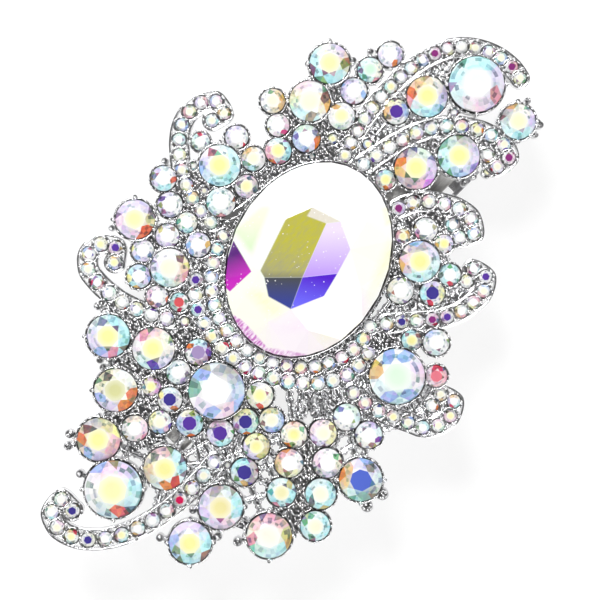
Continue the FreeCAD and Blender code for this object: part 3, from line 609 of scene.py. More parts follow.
def webs_between(stones):
    """Lines from seat to seat across the gaps, where no other seat is in the way."""
    for number, (ax, ay, ar, foot, _) in enumerate(stones):
        for bx, by, br, _, _ in stones[:number]:
            gap = math.hypot(bx - ax, by - ay) - ar - br
            x, y = (ax + bx) / 2 * 1000, (ay + by) / 2 * 1000
            if not WEB_REACH[0] < gap < WEB_REACH[1]:
                continue
            if not any(a < x < b and c < y < d for a, b, c, d in WEBBED):
                continue
            along = Vector((bx - ax, by - ay)).normalized()
            crossed = False
            for cx, cy, cr, _, _ in stones:
                if (cx, cy) in ((ax, ay), (bx, by)):
                    continue
                out = Vector((cx - ax, cy - ay))
                share = min(max(out.dot(along), 0.0), ar + br + gap)
                crossed = crossed or (out - along * share).length < cr + WEB_ROOM
            if not crossed:
                start, end = ar + WEB_TUCK, ar + gap - WEB_TUCK
                yield [(ax + along.x * t, ay + along.y * t, foot - WEB_SINK) for t in (start, end)]


webs = list(webs_between(every_seat))
web_mesh = bpy.data.meshes.new("web_lines")
web_mesh.from_pydata([end for web in webs for end in web],
                     [(2 * i, 2 * i + 1) for i in range(len(webs))], [])
growth = Growth("cast_webs", thick=WEB_THICK, shot=WEB_SHOT, spacing=WEB_SPACING, seed=31)
tube = growth.tube(growth.lines(growth.size("Geometry")), growth.size("thick"), 8,
                   **{"Fill Caps": True})
both = growth.node("GeometryNodeJoinGeometry")
for part in (tube, balls_scattered(growth, tube, 2, 0.6, 1.2)):
    growth.tree.links.new(part, both.inputs[0])
# The webs carry painted shade, darker low down.
web_finish = cast_metal("knobbly_web", SEAT_FLOOR - 0.0006, SEAT_FLOOR + 0.0004, RHODIUM_SHADE)
add_metalwork("cast_webs", growth.grow(web_mesh, both.outputs[0], web_finish), web_finish)

# ------------------------------------------------------------------------------ the smooth leaf
# A smooth leaf, cast with the frame, lies between the oval's bezel and the stones above it: a
# bright pointed blade, tumbled to a soft edge, over a small flat web.
LEAF_EDGE = 0.00010
LEAF_SHADE = (0.34, 0.34, 0.35, 1.0)
BLADE_RISE, WEB_RISE = 0.0006, 0.0002         # above the rims of the seats
# Outlines, in millimetres, counter-clockwise.
BLADE = [(1.7, 15.6), (2.5, 14.7), (4.1, 14.1), (5.5, 14.33), (7.3, 14.62), (8.2, 14.75),
         (6.0, 15.0), (4.6, 15.25)]
LEAF_WEB = [(1.5, 15.3), (1.5, 13.55), (2.4, 13.75), (4.0, 14.05), (2.5, 14.8)]
leaf = bmesh.new()
for outline, top in ((BLADE, SEAT_RIM + BLADE_RISE), (LEAF_WEB, SEAT_RIM + WEB_RISE)):
    ring = [leaf.verts.new((x / 1000, y / 1000, SEAT_FLOOR)) for x, y in outline]
    raised = bmesh.ops.extrude_face_region(leaf, geom=[leaf.faces.new(ring)])["geom"]
    for vertex in raised:
        if isinstance(vertex, bmesh.types.BMVert):
            vertex.co.z = top
bmesh.ops.recalc_face_normals(leaf, faces=leaf.faces)
leaf_mesh = bpy.data.meshes.new("leaf_blank")
leaf.to_mesh(leaf_mesh)
leaf.free()
# The leaf carries painted shade below its top.
leaf_finish = cast_metal("smooth_leaf", SEAT_RIM - 0.0002, SEAT_RIM + 0.0004, LEAF_SHADE)
add_metalwork("smooth_leaf", rounded_edges(leaf_mesh, LEAF_EDGE), leaf_finish)

# ------------------------------------------------------------------------------ the cut stones
# Clear crystal with an iridescent film over the crown and foil behind it: every facet takes a
# pastel of its own, a few flash a strong colour, and the table glows pale yellow or white.
WHITE = (0.99, 0.99, 0.985)
CREAM = (0.98, 0.97, 0.86)
LEMON = (0.98, 0.96, 0.64)
AMBER = (0.88, 0.70, 0.42)
ORANGE = (0.88, 0.45, 0.20)
CRIMSON = (0.82, 0.16, 0.28)
PINK = (0.96, 0.80, 0.88)
ROSE = (0.90, 0.60, 0.66)
LAVENDER = (0.84, 0.79, 0.97)
VIOLET = (0.36, 0.24, 0.62)
BLUE = (0.60, 0.73, 0.95)
CYAN = (0.62, 0.93, 0.96)
PALE_CYAN = (0.83, 0.96, 0.97)
MINT = (0.82, 0.96, 0.86)
TEAL = (0.46, 0.70, 0.62)
GREY = (0.60, 0.59, 0.60)
OLIVE = (0.80, 0.78, 0.50)
CREAM_LEMON = (0.98, 0.96, 0.72)
PASTELS = [WHITE] * 9 + [CREAM, LEMON, PINK, LAVENDER, LAVENDER, BLUE, CYAN, PALE_CYAN,
                         PALE_CYAN, MINT, ROSE, GREY, GREY, AMBER]
FLASHES = [ORANGE, CRIMSON, VIOLET, TEAL, AMBER, BLUE]

TABLE, STAR, KITE, UPPER, BAND, LOWER, FOOT = range(7)        # the kinds of facet

GIRDLE_SHADE_LINE = 0.00012        # the dark line painted at a stone's girdle, as seen from above: the foil back's dark edge and painted shade
STONE_LAP = 0.000025         # how far a girdle reaches under the burnished rim
STAR_SHARE, STAR_HEIGHT = 0.40, 0.70        # where the stars' points lie, out and up the crown
GIRDLE_THICK = 0.05          # of the radius
WEDGES, STEPS = 24, 7.5      # how the facets seen inside a stone divide it, round and outwards


def cut_stone(name, cut):
    """A round brilliant of radius 1 on its foot: table, stars, kites, upper facets, girdle."""
    sides = cut["sides"]
    girdle, crown, table = cut["girdle"], cut["crown"], cut["table"]
    star_reach = table + STAR_SHARE * (1 - table)

    def circle(count, reach, height, lag=0.0):
        return [(reach * math.cos(2 * math.pi * (i + lag) / count),
                 reach * math.sin(2 * math.pi * (i + lag) / count), height)
                for i in range(count)]

    top = circle(sides, table, girdle + crown)
    stars = circle(sides, star_reach, girdle + STAR_HEIGHT * crown, 0.5)
    rim = circle(2 * sides, 1.0, girdle + GIRDLE_THICK)
    belt = circle(2 * sides, 1.0, girdle)
    foot = circle(sides, cut["foot"], 0.0)
    places = top + stars + rim + belt + foot
    t0, s0, r0, b0, f0 = np.cumsum([0, sides, sides, 2 * sides, 2 * sides]).tolist()
    faces, kinds = [tuple(range(sides))], [TABLE]
    for i in range(sides):
        nxt, before = (i + 1) % sides, (i - 1) % sides
        r1, r2, r3 = (r0 + (2 * i + step) % (2 * sides) for step in range(3))
        faces += [(t0 + i, s0 + i, t0 + nxt), (t0 + i, s0 + before, r1, s0 + i),
                  (s0 + i, r1, r2), (s0 + i, r2, r3),
                  (b0 + 2 * i, f0 + i, b0 + 2 * i + 1),
                  (b0 + 2 * i + 1, f0 + i, f0 + nxt, b0 + (2 * i + 2) % (2 * sides))]
        kinds += [STAR, KITE, UPPER, UPPER, LOWER, LOWER]
    for i in range(2 * sides):
        nxt = (i + 1) % (2 * sides)
        faces.append((r0 + i, b0 + i, b0 + nxt, r0 + nxt))
        kinds.append(BAND)
    faces.append(tuple(f0 + i for i in reversed(range(sides))))
    kinds.append(FOOT)
    mesh = bpy.data.meshes.new(name)
    mesh.from_pydata(places, [], faces)
    mesh.attributes.new("facet", "INT", "FACE").data.foreach_set("value", kinds)
    local = mesh.attributes.new("cut_place", "FLOAT_VECTOR", "POINT")
    local.data.foreach_set("vector", [c for p in places for c in p])
    stone = bpy.data.objects.new(name, mesh)
    bpy.context.scene.collection.objects.link(stone)
    return stone


def crystal(name):
    """Coated crystal: the film's colours from the paint, broken up by painted light and shade of
    the facets seen inside, and darkened at the girdle.
    """
    finish = Finish(name, Roughness=0.05, IOR=1.5, Coat_Weight=0.25, Coat_Roughness=0.03)
    film = finish.node("ShaderNodeAttribute", {"attribute_name": "film"}).outputs["Color"]
    local = finish.node("ShaderNodeAttribute", {"attribute_name": "cut_place"}).outputs["Vector"]
    lot = finish.amount("ShaderNodeAttribute", {"attribute_name": "lot"}, output=2)
    radius = finish.amount("ShaderNodeAttribute", {"attribute_name": "reach"}, output=2)
    split = finish.node("ShaderNodeSeparateXYZ", None, {0: local})
    x, y = Amount(finish, split.outputs[0]), Amount(finish, split.outputs[1])
    angle = x.sum_with("ARCTAN2", y, x)
    square = x * x + y * y
    reach = square.sum_with("POWER", square, 0.5)
    wedge = angle.sum_with("FLOOR", angle * (WEDGES / (2 * math.pi)) + WEDGES, 0)
    step = reach.sum_with("FLOOR", reach * STEPS, 0)
    key = finish.node("ShaderNodeCombineXYZ", None, {0: wedge, 1: step, 2: lot})
    # Painted reflections: each cell of wedges and steps takes a random light or dark grey,
    # standing in for the light and shade of the back facets seen inside.
    inner = finish.node("ShaderNodeTexWhiteNoise", {"noise_dimensions": "3D"},
                        {"Vector": key.outputs[0]})
    shade = finish.node("ShaderNodeValToRGB", {"stops": [
        (0.0, (0.24, 0.24, 0.26, 1)), (0.06, (0.50, 0.50, 0.53, 1)),
        (0.24, (0.84, 0.84, 0.86, 1)), (0.60, (1, 1, 1, 1))]},
        {0: inner.outputs["Value"]}).outputs[0]
    crown = finish.limited(reach, 0.50, 0.60)
    tinted = finish.node("ShaderNodeMix", {"data_type": "RGBA", "blend_type": "MULTIPLY"},
                         {0: crown, 6: film, 7: shade}).outputs[2]
    fiery = finish.node("ShaderNodeMix", {"data_type": "RGBA", "blend_type": "SOFT_LIGHT"},
                        {0: crown * 0.30, 6: tinted, 7: inner.outputs["Color"]}).outputs[2]
    bright = finish.limited(finish.amount("ShaderNodeRGBToBW", None, {0: film}), 0.35, 0.75)
    # The table whitens towards its edge, the more so the brighter its film.
    table_edge_whitening = finish.limited(reach, 0.22, 0.52) * (1 - crown) * bright * 0.5
    fiery = finish.blend(table_edge_whitening, fiery, (1, 1, 1, 1))
    # A near-black line painted at the girdle: partly the foil back's dark edge, partly painted
    # shade in the gap under the rim.
    girdle = finish.limited((1 - reach) * radius, GIRDLE_SHADE_LINE, GIRDLE_SHADE_LINE * 0.35)
    return finish.paint(Base_Color=finish.blend(girdle * 0.92, fiery, (0.03, 0.03, 0.033, 1)))


crystal_finish = crystal("coated_crystal")


def set_stones(name, cut, nodes):
    """Cut stones of one pattern laid in all their seats, as one mesh."""
    rows = []
    draw = random.Random(name)
    for node in nodes:
        for x, y, reach, foot in groups[node]:
            rows.append({"at": (x, y, foot), "reach": reach + STONE_LAP, "lot": float(len(rows)),
                         "turn": draw.uniform(0, 2 * math.pi), "node": node})
    growth = Growth(name + "_laid", stone=cut_stone(name + "_pattern", cut))
    pattern = growth.node("GeometryNodeObjectInfo", {"transform_space": "ORIGINAL"},
                          {"Object": growth.size("stone")})
    turned = growth.node("ShaderNodeCombineXYZ", None, {2: growth.named("turn")})
    laid = growth.laid(growth.size("Geometry"), pattern.outputs["Geometry"],
                       growth.named("reach"), Rotation=turned.outputs[0])
    mesh = growth.grow(points_mesh(name + "_places", rows), laid, crystal_finish, smooth=False)
    bpy.data.objects.remove(growth.given["stone"])
    return mesh, rows


CAMERA_TURN = 45        # degrees from +X round to the camera's right-hand side, clockwise

# A stone's film: its table, then the colours that follow round its crown, each from the bearing
# where it is strongest, then single facets that flash.  Bearings are as the camera has them:
# 0 to its right, 90 up.
FILMS = {
    "grand_stone_left_tip": (CREAM_LEMON,
        [(0, CYAN), (60, LAVENDER), (110, PINK), (180, WHITE), (250, PALE_CYAN), (310, CYAN)],
        [(130, BLUE), (290, (0.90, 0.32, 0.34))]),
    "grand_stone_beside_oval": ((1.0, 1.0, 0.99),
        [(0, BLUE), (60, GREY), (120, PALE_CYAN), (200, WHITE), (240, LAVENDER), (290, PINK)],
        [(172, TEAL), (135, BLUE), (335, BLUE), (255, BLUE)]),
    "grand_stone_bottom": ((0.88, 0.98, 0.88),
        [(0, PINK), (40, LAVENDER), (90, WHITE), (160, CREAM), (210, PALE_CYAN), (270, CYAN),
         (320, PALE_CYAN)],
        [(105, BLUE), (70, BLUE), (165, AMBER), (240, BLUE), (310, BLUE)]),
    "grand_stone_right_tip": ((0.96, 1.0, 1.0),
        [(0, LAVENDER), (90, CYAN), (150, CYAN), (210, PALE_CYAN), (270, PINK), (320, LAVENDER)],
        [(330, ROSE)]),
    "large_stone_left_crest": (LEMON,
        [(0, ROSE), (60, OLIVE), (110, GREY), (180, AMBER), (270, LAVENDER),
         (320, ROSE)],
        [(170, ORANGE), (235, BLUE), (30, LEMON)]),
    "large_stone_left_heart": (LEMON,
        [(0, CYAN), (50, CYAN), (95, ROSE), (150, CREAM), (190, AMBER), (240, PALE_CYAN),
         (330, PALE_CYAN)],
        [(305, (0.84, 0.25, 0.22)), (275, ORANGE)]),
    "large_stone_left_shoulder": ((0.85, 0.85, 0.62),
        [(0, CREAM), (60, WHITE), (130, OLIVE), (180, CREAM), (220, LAVENDER), (260, LAVENDER),
         (320, AMBER)],
        [(350, ORANGE), (300, ORANGE), (200, BLUE)]),
    "large_stone_upper_left_inner": (LEMON,
        [(0, CREAM), (50, CREAM), (100, ROSE), (150, PINK), (200, WHITE), (240, CYAN),
         (320, LAVENDER)],
        [(268, (0.36, 0.20, 0.66)), (125, ROSE)]),
    "large_stone_upper_left_outer": (LEMON,
        [(0, CYAN), (60, CYAN), (120, PALE_CYAN), (190, LAVENDER), (230, LAVENDER), (320, CYAN)],
        [(240, BLUE), (290, ROSE)]),
    "large_stone_lower_left_outer": (LEMON,
        [(0, CYAN), (60, LAVENDER), (120, LAVENDER), (190, BLUE), (260, CYAN), (310, CYAN)],
        [(322, (0.55, 0.40, 0.38)), (170, BLUE)]),
    "large_stone_lower_left_inner": ((0.96, 0.92, 0.66),
        [(0, CYAN), (60, PALE_CYAN), (95, GREY), (160, LAVENDER), (230, LAVENDER), (290, PINK)],
        [(100, GREY), (200, LAVENDER)]),
    "large_stone_lower_left_corner": ((0.99, 0.98, 0.92),
        [(0, AMBER), (60, ROSE), (120, ROSE), (170, CREAM), (215, MINT), (270, CYAN), (320, CYAN)],
        [(15, OLIVE), (340, AMBER), (205, (0.45, 0.88, 0.70)), (190, ROSE)]),
    "large_stone_bottom_left": ((0.34, 0.42, 0.80),
        [(0, PALE_CYAN), (60, LAVENDER), (100, LAVENDER), (150, AMBER), (190, AMBER), (240, CYAN),
         (280, TEAL), (330, GREY)],
        [(165, ORANGE), (80, BLUE), (290, TEAL)]),
    "large_stone_lower_right": (LEMON,
        [(0, PALE_CYAN), (40, LAVENDER), (90, GREY), (160, PINK), (190, ROSE), (250, CYAN),
         (300, CYAN)],
        [(185, AMBER), (95, BLUE)]),
    "large_stone_right_heart": (LEMON,
        [(0, LAVENDER), (80, MINT), (110, GREY), (160, ROSE), (230, GREY), (280, ROSE),
         (320, (0.85, 0.62, 0.95))],
        [(160, ORANGE), (195, AMBER), (310, (0.85, 0.50, 0.92))]),
    "large_stone_right_lower": (LEMON,
        [(0, LAVENDER), (70, GREY), (120, TEAL), (180, CYAN), (230, CYAN), (280, BLUE),
         (330, LAVENDER)],
        [(150, TEAL), (330, (0.62, 0.52, 0.90))]),
    "large_stone_right_upper": (LEMON,
        [(0, LAVENDER), (60, CREAM), (120, AMBER), (180, ROSE), (230, CYAN), (290, CYAN),
         (330, BLUE)],
        [(165, ORANGE), (190, ROSE)]),
    "large_stone_right_foot": ((0.98, 0.97, 0.80),
        [(0, LAVENDER), (80, CREAM), (150, GREY), (200, PALE_CYAN), (250, CYAN), (300, CYAN)],
        [(110, AMBER)]),
    "large_stone_top_left": (CREAM,
        [(0, AMBER), (90, WHITE), (180, LAVENDER), (230, CYAN), (280, MINT), (330, ROSE)],
        [(10, LEMON), (330, ROSE)]),
    "large_stone_top_crest": (CREAM_LEMON,
        [(0, OLIVE), (60, LAVENDER), (120, LAVENDER), (190, PINK), (240, LAVENDER), (300, ROSE)],
        [(315, (0.88, 0.30, 0.16)), (285, ORANGE), (15, GREY)]),
    "large_stone_top_centre": (LEMON,
        [(0, CYAN), (60, PALE_CYAN), (110, WHITE), (170, LAVENDER), (200, BLUE), (250, CYAN),
         (310, CYAN)],
        [(190, BLUE)]),
    "large_stone_top_right_inner": (CREAM,
        [(0, AMBER), (60, WHITE), (120, PINK), (170, OLIVE), (220, CYAN), (270, CYAN),
         (320, CREAM)],
        [(15, (0.45, 0.30, 0.26)), (348, AMBER), (272, (0.62, 0.60, 0.50))]),
    "large_stone_top_right_outer": (CREAM_LEMON,
        [(0, AMBER), (60, LAVENDER), (110, CREAM), (150, CYAN), (250, CYAN), (320, CYAN)],
        [(195, (0.45, 0.25, 0.42)), (10, (0.60, 0.42, 0.28))]),
}

# The same for the stones of the clusters and rows that stand out, each by the middle of its
# seat, in millimetres.
NAVY = (0.27, 0.24, 0.56)
PLUM = (0.55, 0.22, 0.48)
NEAR_FILMS = {
    (-21.7, 2.6): (NAVY, [(0, WHITE), (100, PALE_CYAN), (200, WHITE)],
                    [(295, ORANGE), (150, LEMON)]),
    (-22.1, -1.8): (VIOLET, [(0, CYAN), (100, CREAM), (180, BLUE)], [(275, ORANGE)]),
    (-20.0, -5.9): (VIOLET, [(0, WHITE), (120, PINK), (200, LAVENDER), (300, CYAN)], []),
    (-16.3, -7.3): (NAVY, [(0, MINT), (130, LEMON), (200, LAVENDER), (300, CYAN)],
                    [(270, ORANGE), (10, TEAL)]),
    (-21.5, -12.3): (NAVY, [(0, GREY), (120, CYAN), (200, PALE_CYAN)], [(270, AMBER)]),
    (15.6, -13.2): (NAVY, [(0, LEMON), (90, LAVENDER), (180, CYAN), (280, WHITE)],
                    [(265, CRIMSON)]),
    (30.3, 8.8): (VIOLET, [(0, BLUE), (100, LEMON), (180, AMBER), (280, WHITE)], [(200, AMBER)]),
    (-14.05, 4.5): ((0.66, 0.58, 0.76), [(0, (0.72, 0.55, 0.86)), (90, CYAN), (200, WHITE),
                                         (280, PINK)], [(140, ORANGE), (350, VIOLET)]),
    (-18.1, 4.5): (WHITE, [(0, WHITE), (180, PALE_CYAN)], [(300, LAVENDER)]),
    (-22.3, 5.8): ((0.96, 0.96, 0.66), [(0, (0.90, 0.62, 0.88)), (180, CREAM)], []),
    (-12.2, -6.1): ((0.97, 0.96, 0.66), [(0, CREAM), (90, WHITE), (180, CREAM)],
                    [(275, (0.86, 0.32, 0.18))]),
    (-13.5, -9.8): (CREAM, [(0, BLUE), (100, OLIVE), (180, CREAM), (280, BLUE)], [(290, BLUE)]),
    (-28.2, 3.2): (WHITE, [(0, PINK), (100, (0.94, 0.86, 0.78)), (200, WHITE)], [(320, ROSE)]),
    (-25.0, 1.3): (CREAM, [(0, WHITE), (180, LEMON), (270, BLUE)], [(340, VIOLET), (310, PINK)]),
    (-17.7, -10.9): ((0.98, 0.96, 0.66), [(0, OLIVE), (100, LEMON), (220, LAVENDER)],
                    [(290, OLIVE)]),
    (-12.7, -13.5): (LEMON, [(0, CREAM), (100, (0.94, 0.82, 0.72)), (200, CREAM)],
                    [(240, ORANGE)]),
    (-16.1, -15.9): (WHITE, [(0, WHITE), (120, ROSE), (180, AMBER), (280, LEMON)],
                    [(110, ORANGE)]),
    (-19.8, -18.1): ((0.97, 0.95, 0.74), [(0, CYAN), (120, PALE_CYAN), (200, CYAN)],
                     [(50, OLIVE), (240, ROSE)]),
    (-19.8, -24.9): (CREAM, [(0, CYAN), (120, PALE_CYAN), (200, CYAN), (280, CYAN)], []),
    (-16.0, -22.2): (CREAM, [(0, CYAN), (100, PALE_CYAN), (200, CYAN)], [(280, OLIVE)]),
    (-9.6, -16.3): (CREAM, [(0, LEMON), (150, PINK), (220, LAVENDER)], []),
    (31.9, 15.7): (MINT, [(0, CREAM), (100, PALE_CYAN), (200, CYAN)], [(300, ROSE)]),
    (35.5, 15.2): (WHITE, [(0, LAVENDER), (90, WHITE)], [(300, ORANGE)]),
    (28.1, 15.2): (WHITE, [(0, WHITE), (180, LAVENDER)], [(150, BLUE), (340, BLUE)]),
    (18.5, 15.2): (WHITE, [(0, LAVENDER), (100, MINT), (200, BLUE)], [(0, ORANGE), (330, ORANGE)]),
    (17.0, 19.4): (WHITE, [(0, PINK), (180, WHITE)], [(320, (0.85, 0.20, 0.45))]),
    (14.4, 16.8): (LEMON, [(0, CYAN), (90, PALE_CYAN), (200, ROSE)], [(240, ORANGE), (290, ROSE)]),
    (18.9, 22.4): (CREAM, [(0, AMBER), (180, WHITE)], [(20, AMBER)]),
    (21.4, -6.1): (WHITE, [(0, WHITE), (180, WHITE)], [(215, ROSE)]),
    (21.8, -9.4): (LEMON, [(0, LAVENDER), (180, CREAM)], [(180, AMBER)]),
    (19.2, -13.1): (WHITE, [(0, PALE_CYAN), (90, CYAN), (200, CYAN)], [(275, CRIMSON)]),
    (12.6, -9.7): (WHITE, [(0, WHITE), (150, CREAM)], [(200, GREY)]),
    (22.35, 3.0): (LEMON, [(0, CREAM), (90, CYAN), (180, GREY)], [(270, ORANGE), (300, ROSE)]),
    (8.75, -15.9): (LEMON, [(0, GREY), (150, CYAN), (200, CYAN)], [(30, (0.50, 0.28, 0.26))]),
    (7.6, -22.0): ((0.93, 0.50, 0.56), [(0, ROSE), (180, PINK)], [(70, CRIMSON), (95, CRIMSON)]),
    (3.4, 17.4): (WHITE, [(0, WHITE), (180, PALE_CYAN)], [(270, ROSE), (10, (0.60, 0.44, 0.36))]),
    (0.0, 25.6): (WHITE, [(0, WHITE), (180, LAVENDER), (270, CYAN)], [(0, (0.86, 0.34, 0.18))]),
    (-2.0, 22.3): (WHITE, [(0, WHITE), (230, LAVENDER)], [(150, VIOLET)]),
    (-2.1, 18.8): (WHITE, [(0, CREAM), (180, CREAM), (260, CYAN)], [(172, TEAL)]),
    (-5.4, 19.4): (WHITE, [(0, WHITE), (230, LAVENDER)], [(140, OLIVE)]),
    (-3.2, 15.4): (WHITE, [(0, WHITE), (80, LAVENDER)], [(190, BLUE), (230, BLUE), (0, AMBER)]),
    (-9.4, 20.4): (WHITE, [(0, WHITE), (250, LAVENDER)], [(170, LEMON), (230, BLUE)]),
    (-12.4, 18.2): (WHITE, [(0, LAVENDER), (180, CYAN)],
                    [(190, LEMON), (350, BLUE), (260, AMBER)]),
    (-12.6, 14.3): (WHITE, [(0, WHITE), (200, PINK)], [(350, (0.86, 0.45, 0.40)), (210, ROSE)]),
    (-10.95, 11.5): ((0.86, 0.36, 0.38), [(0, WHITE), (120, CYAN), (180, TEAL)], [(270, CRIMSON)]),
    (-42.9, 1.2): (NAVY, [(0, WHITE), (180, CREAM)], []),
    (-43.5, -3.8): (NAVY, [(0, CREAM), (180, WHITE)], []),
    (-30.6, -8.5): ((0.82, 0.14, 0.34), [(0, WHITE), (180, GREY)], []),
    (9.5, -12.9): (NAVY, [(0, CREAM), (180, WHITE)], []),
    (12.9, -15.8): (PLUM, [(0, PINK), (180, WHITE)], [(300, CRIMSON)]),
    (14.4, -16.7): (VIOLET, [(0, WHITE), (180, PINK)], []),
    (22.0, -17.0): (VIOLET, [(0, WHITE), (180, WHITE)], []),
    (22.0, -1.6): (PLUM, [(0, LAVENDER), (180, WHITE)], []),
    (-12.2, 22.9): (VIOLET, [(0, WHITE), (180, PINK)], []),
    (-6.6, 12.6): (VIOLET, [(0, WHITE), (180, WHITE)], []),
    (-9.5, 9.4): (VIOLET, [(0, WHITE), (180, CYAN)], []),
    (-10.6, 3.3): (CREAM, [(0, WHITE), (180, CREAM)], [(20, CRIMSON), (45, CRIMSON)]),
    (0.2, -10.7): (WHITE, [(0, WHITE), (180, PINK)], [(320, CRIMSON), (350, CRIMSON)]),
    (-16.6, 17.0): (WHITE, [(0, WHITE), (180, CREAM)], [(300, CRIMSON)]),
    (46.0, 1.4): (PLUM, [(0, ROSE), (180, WHITE)], []),
    (40.2, 10.7): (PLUM, [(0, PINK), (180, WHITE)], []),
    (38.2, -7.2): (PLUM, [(0, PINK), (180, WHITE)], []),
}
PLACE_REACH = 1.3            # millimetres within which a named place is taken to mean a stone
WARM_WHITE = (1.0, 1.0, 0.97)


def chance_film(draw):
    """A film for a stone with nothing special about it: mostly white, with pastel patches."""
    table = draw.choice([WHITE] * 4 + [WARM_WHITE] * 3 + [CREAM] * 4 + [CREAM_LEMON] * 2)
    start = draw.uniform(0, 360)
    round_it = [(start + 360 * i / 5 + draw.uniform(-25, 25), draw.choice(PASTELS))
                for i in range(5)]
    flashes = [(draw.uniform(0, 360), draw.choice(FLASHES))] if draw.random() < 0.35 else []
    return table, round_it, flashes


def film_for(node, x, y, draw):
    if node in FILMS:
        return FILMS[node]
    near = min(NEAR_FILMS, key=lambda at: math.hypot(at[0] - x * 1000, at[1] - y * 1000))
    if math.hypot(near[0] - x * 1000, near[1] - y * 1000) < PLACE_REACH and near not in taken:
        taken.add(near)
        return NEAR_FILMS[near]
    return chance_film(draw)


def shown(colour):
    """A colour as the eye has it, in the shader's own linear terms."""
    return tuple(min(max(c, 0.0), 1.0) ** 2.2 for c in colour)


def apart(one, other):
    """Degrees between two bearings."""
    return abs((one - other + 180) % 360 - 180)


def film_at(bearing, tints, spread):
    """The blend of a film's colours at a bearing; each fades out over so many degrees."""
    weights = [max(0.0, 1 - apart(bearing, at) / spread) ** 2 + 1e-4 for at, _ in tints]
    return [sum(w * c[i] for w, (_, c) in zip(weights, tints)) / sum(weights) for i in range(3)]


def paler(colour, share):
    return [c + (1.0 - c) * share for c in colour]


EDGE_SHADE = (0.10, 0.10, 0.11)                # painted shade on the girdle and back, as seen past the crown
TINT_SPREAD = 65.0
TABLE_GLOW = 0.35                             # how much of the table's colour its stars take
FLASH_SPREAD = {KITE: 14, UPPER: 16}
LEAST_PALE, MORE_PALE = 0.18, {KITE: 0.35, STAR: 0.35, UPPER: 0.50}
DARKENED_FACET_SHARE = 0.10                             # share of the crown's facets painted darker, as shade


def coat(mesh, rows):
    """Paint each facet of the laid stones with the colour of its film."""
    lot_of = np.zeros(len(mesh.vertices))
    mesh.attributes["lot"].data.foreach_get("value", lot_of)
    kinds = np.zeros(len(mesh.polygons), int)
    mesh.attributes["facet"].data.foreach_get("value", kinds)
    film = mesh.color_attributes.new("film", "FLOAT_COLOR", "CORNER")
    draw = random.Random(len(rows))
    films = [film_for(row["node"], row["at"][0], row["at"][1], draw) for row in rows]
    for polygon in mesh.polygons:
        lot = int(round(lot_of[polygon.vertices[0]]))
        kind = kinds[polygon.index]
        out = polygon.center - Vector(rows[lot]["at"])
        bearing = math.degrees(math.atan2(out.y, out.x)) + CAMERA_TURN
        table, crown, flashes = films[lot]
        if kind == TABLE:
            colour, spread = table, 0.03
        # The girdle and back facets are painted dark as shade.
        elif kind in (BAND, LOWER, FOOT):
            colour, spread = EDGE_SHADE, 0.02
        else:
            colour, spread = film_at(bearing, crown, TINT_SPREAD), 0.06
            if kind == STAR:
                colour = [c + (t - c) * TABLE_GLOW for c, t in zip(colour, table)]
            colour = paler(colour, LEAST_PALE + draw.random() * MORE_PALE[kind])
            # Painted shade: a few crown facets at random are darkened.
            if draw.random() < DARKENED_FACET_SHARE:
                colour = [c * draw.uniform(0.45, 0.75) for c in colour]
            for at, flash in flashes:
                if apart(bearing, at) < FLASH_SPREAD.get(kind, 0):
                    colour = [c + (1.0 - c) * draw.uniform(0.0, 0.2) for c in flash]
        for corner in polygon.loop_indices:
            light = draw.uniform(1 - spread, 1 + spread)
            film.data[corner].color = (*shown([c * light for c in colour]), 1.0)


taken = set()                                 # named places whose stone has been found
for name, cut, start, slot in (("row_stones", SMALL_CUT, "small", "small_stone_crystal"),
                               ("cluster_stones", MEDIUM_CUT, "medium", "small_stone_crystal"),
                               ("crest_stones", LARGE_CUT, ("large", "grand"),
                                "large_stone_crystal")):
    nodes = [node for node in groups if node.startswith(start)]
    mesh, rows = set_stones(name, cut, nodes)
    coat(mesh, rows)
    add_piece(name, mesh, crystal_finish, "ornament", nodes)

# ------------------------------------------------------------------------------ the oval stone
# One big fancy-cut oval, coated like the others and held by a burnished bezel.  Its broad crown
# reads almost white; through the long table show an olive and a violet facet of its back.
OVAL_MIDDLE = Vector((0.0065, 0.0027))
OVAL_HALF = (0.0144, 0.0112)
OVAL_TILT = math.radians(19.5)
OVAL_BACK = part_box("oval_stone")[0].z
OVAL_BELT, OVAL_GIRDLE, OVAL_TABLE = 0.0023, 0.0027, 0.0056        # heights above its back
OVAL_FOOT = 0.45                              # the back's share of the whole width
STAR_OUT = 0.74
TABLE_CORNERS = [(-1.3, 3.0), (0.5, 6.4), (8.2, 9.0), (12.0, 7.5), (13.4, 3.3), (11.6, -0.5),
                 (4.3, -2.5), (-0.3, -0.5)]   # in millimetres
# The crown's pale tints, each with the bearing where it is strongest, as for the round stones.
OVAL_TINTS = [(0, (1.0, 1.0, 0.95)), (40, (1.0, 1.0, 1.0)), (100, (1.0, 1.0, 1.0)),
              (150, (0.99, 1.0, 0.98)), (185, (0.97, 1.0, 0.94)), (225, (1.0, 1.0, 0.94)),
              (262, (1.0, 0.96, 1.0)), (300, (1.0, 0.99, 0.92)), (335, (0.99, 0.99, 1.0))]
OVAL_TINT_SPREAD = 50.0
OVAL_SIDE = (0.75, 0.72, 0.76)                # girdle and back
STEEP = 0.15                                  # a facet's normal rises less than this on the side


def on_oval(share, turn):
    """A point at a share of the way out from the oval's middle, at an angle of its own circle."""
    along, across = OVAL_HALF[0] * share * math.cos(turn), OVAL_HALF[1] * share * math.sin(turn)
    return (OVAL_MIDDLE.x + along * math.cos(OVAL_TILT) - across * math.sin(OVAL_TILT),
            OVAL_MIDDLE.y + along * math.sin(OVAL_TILT) + across * math.cos(OVAL_TILT))


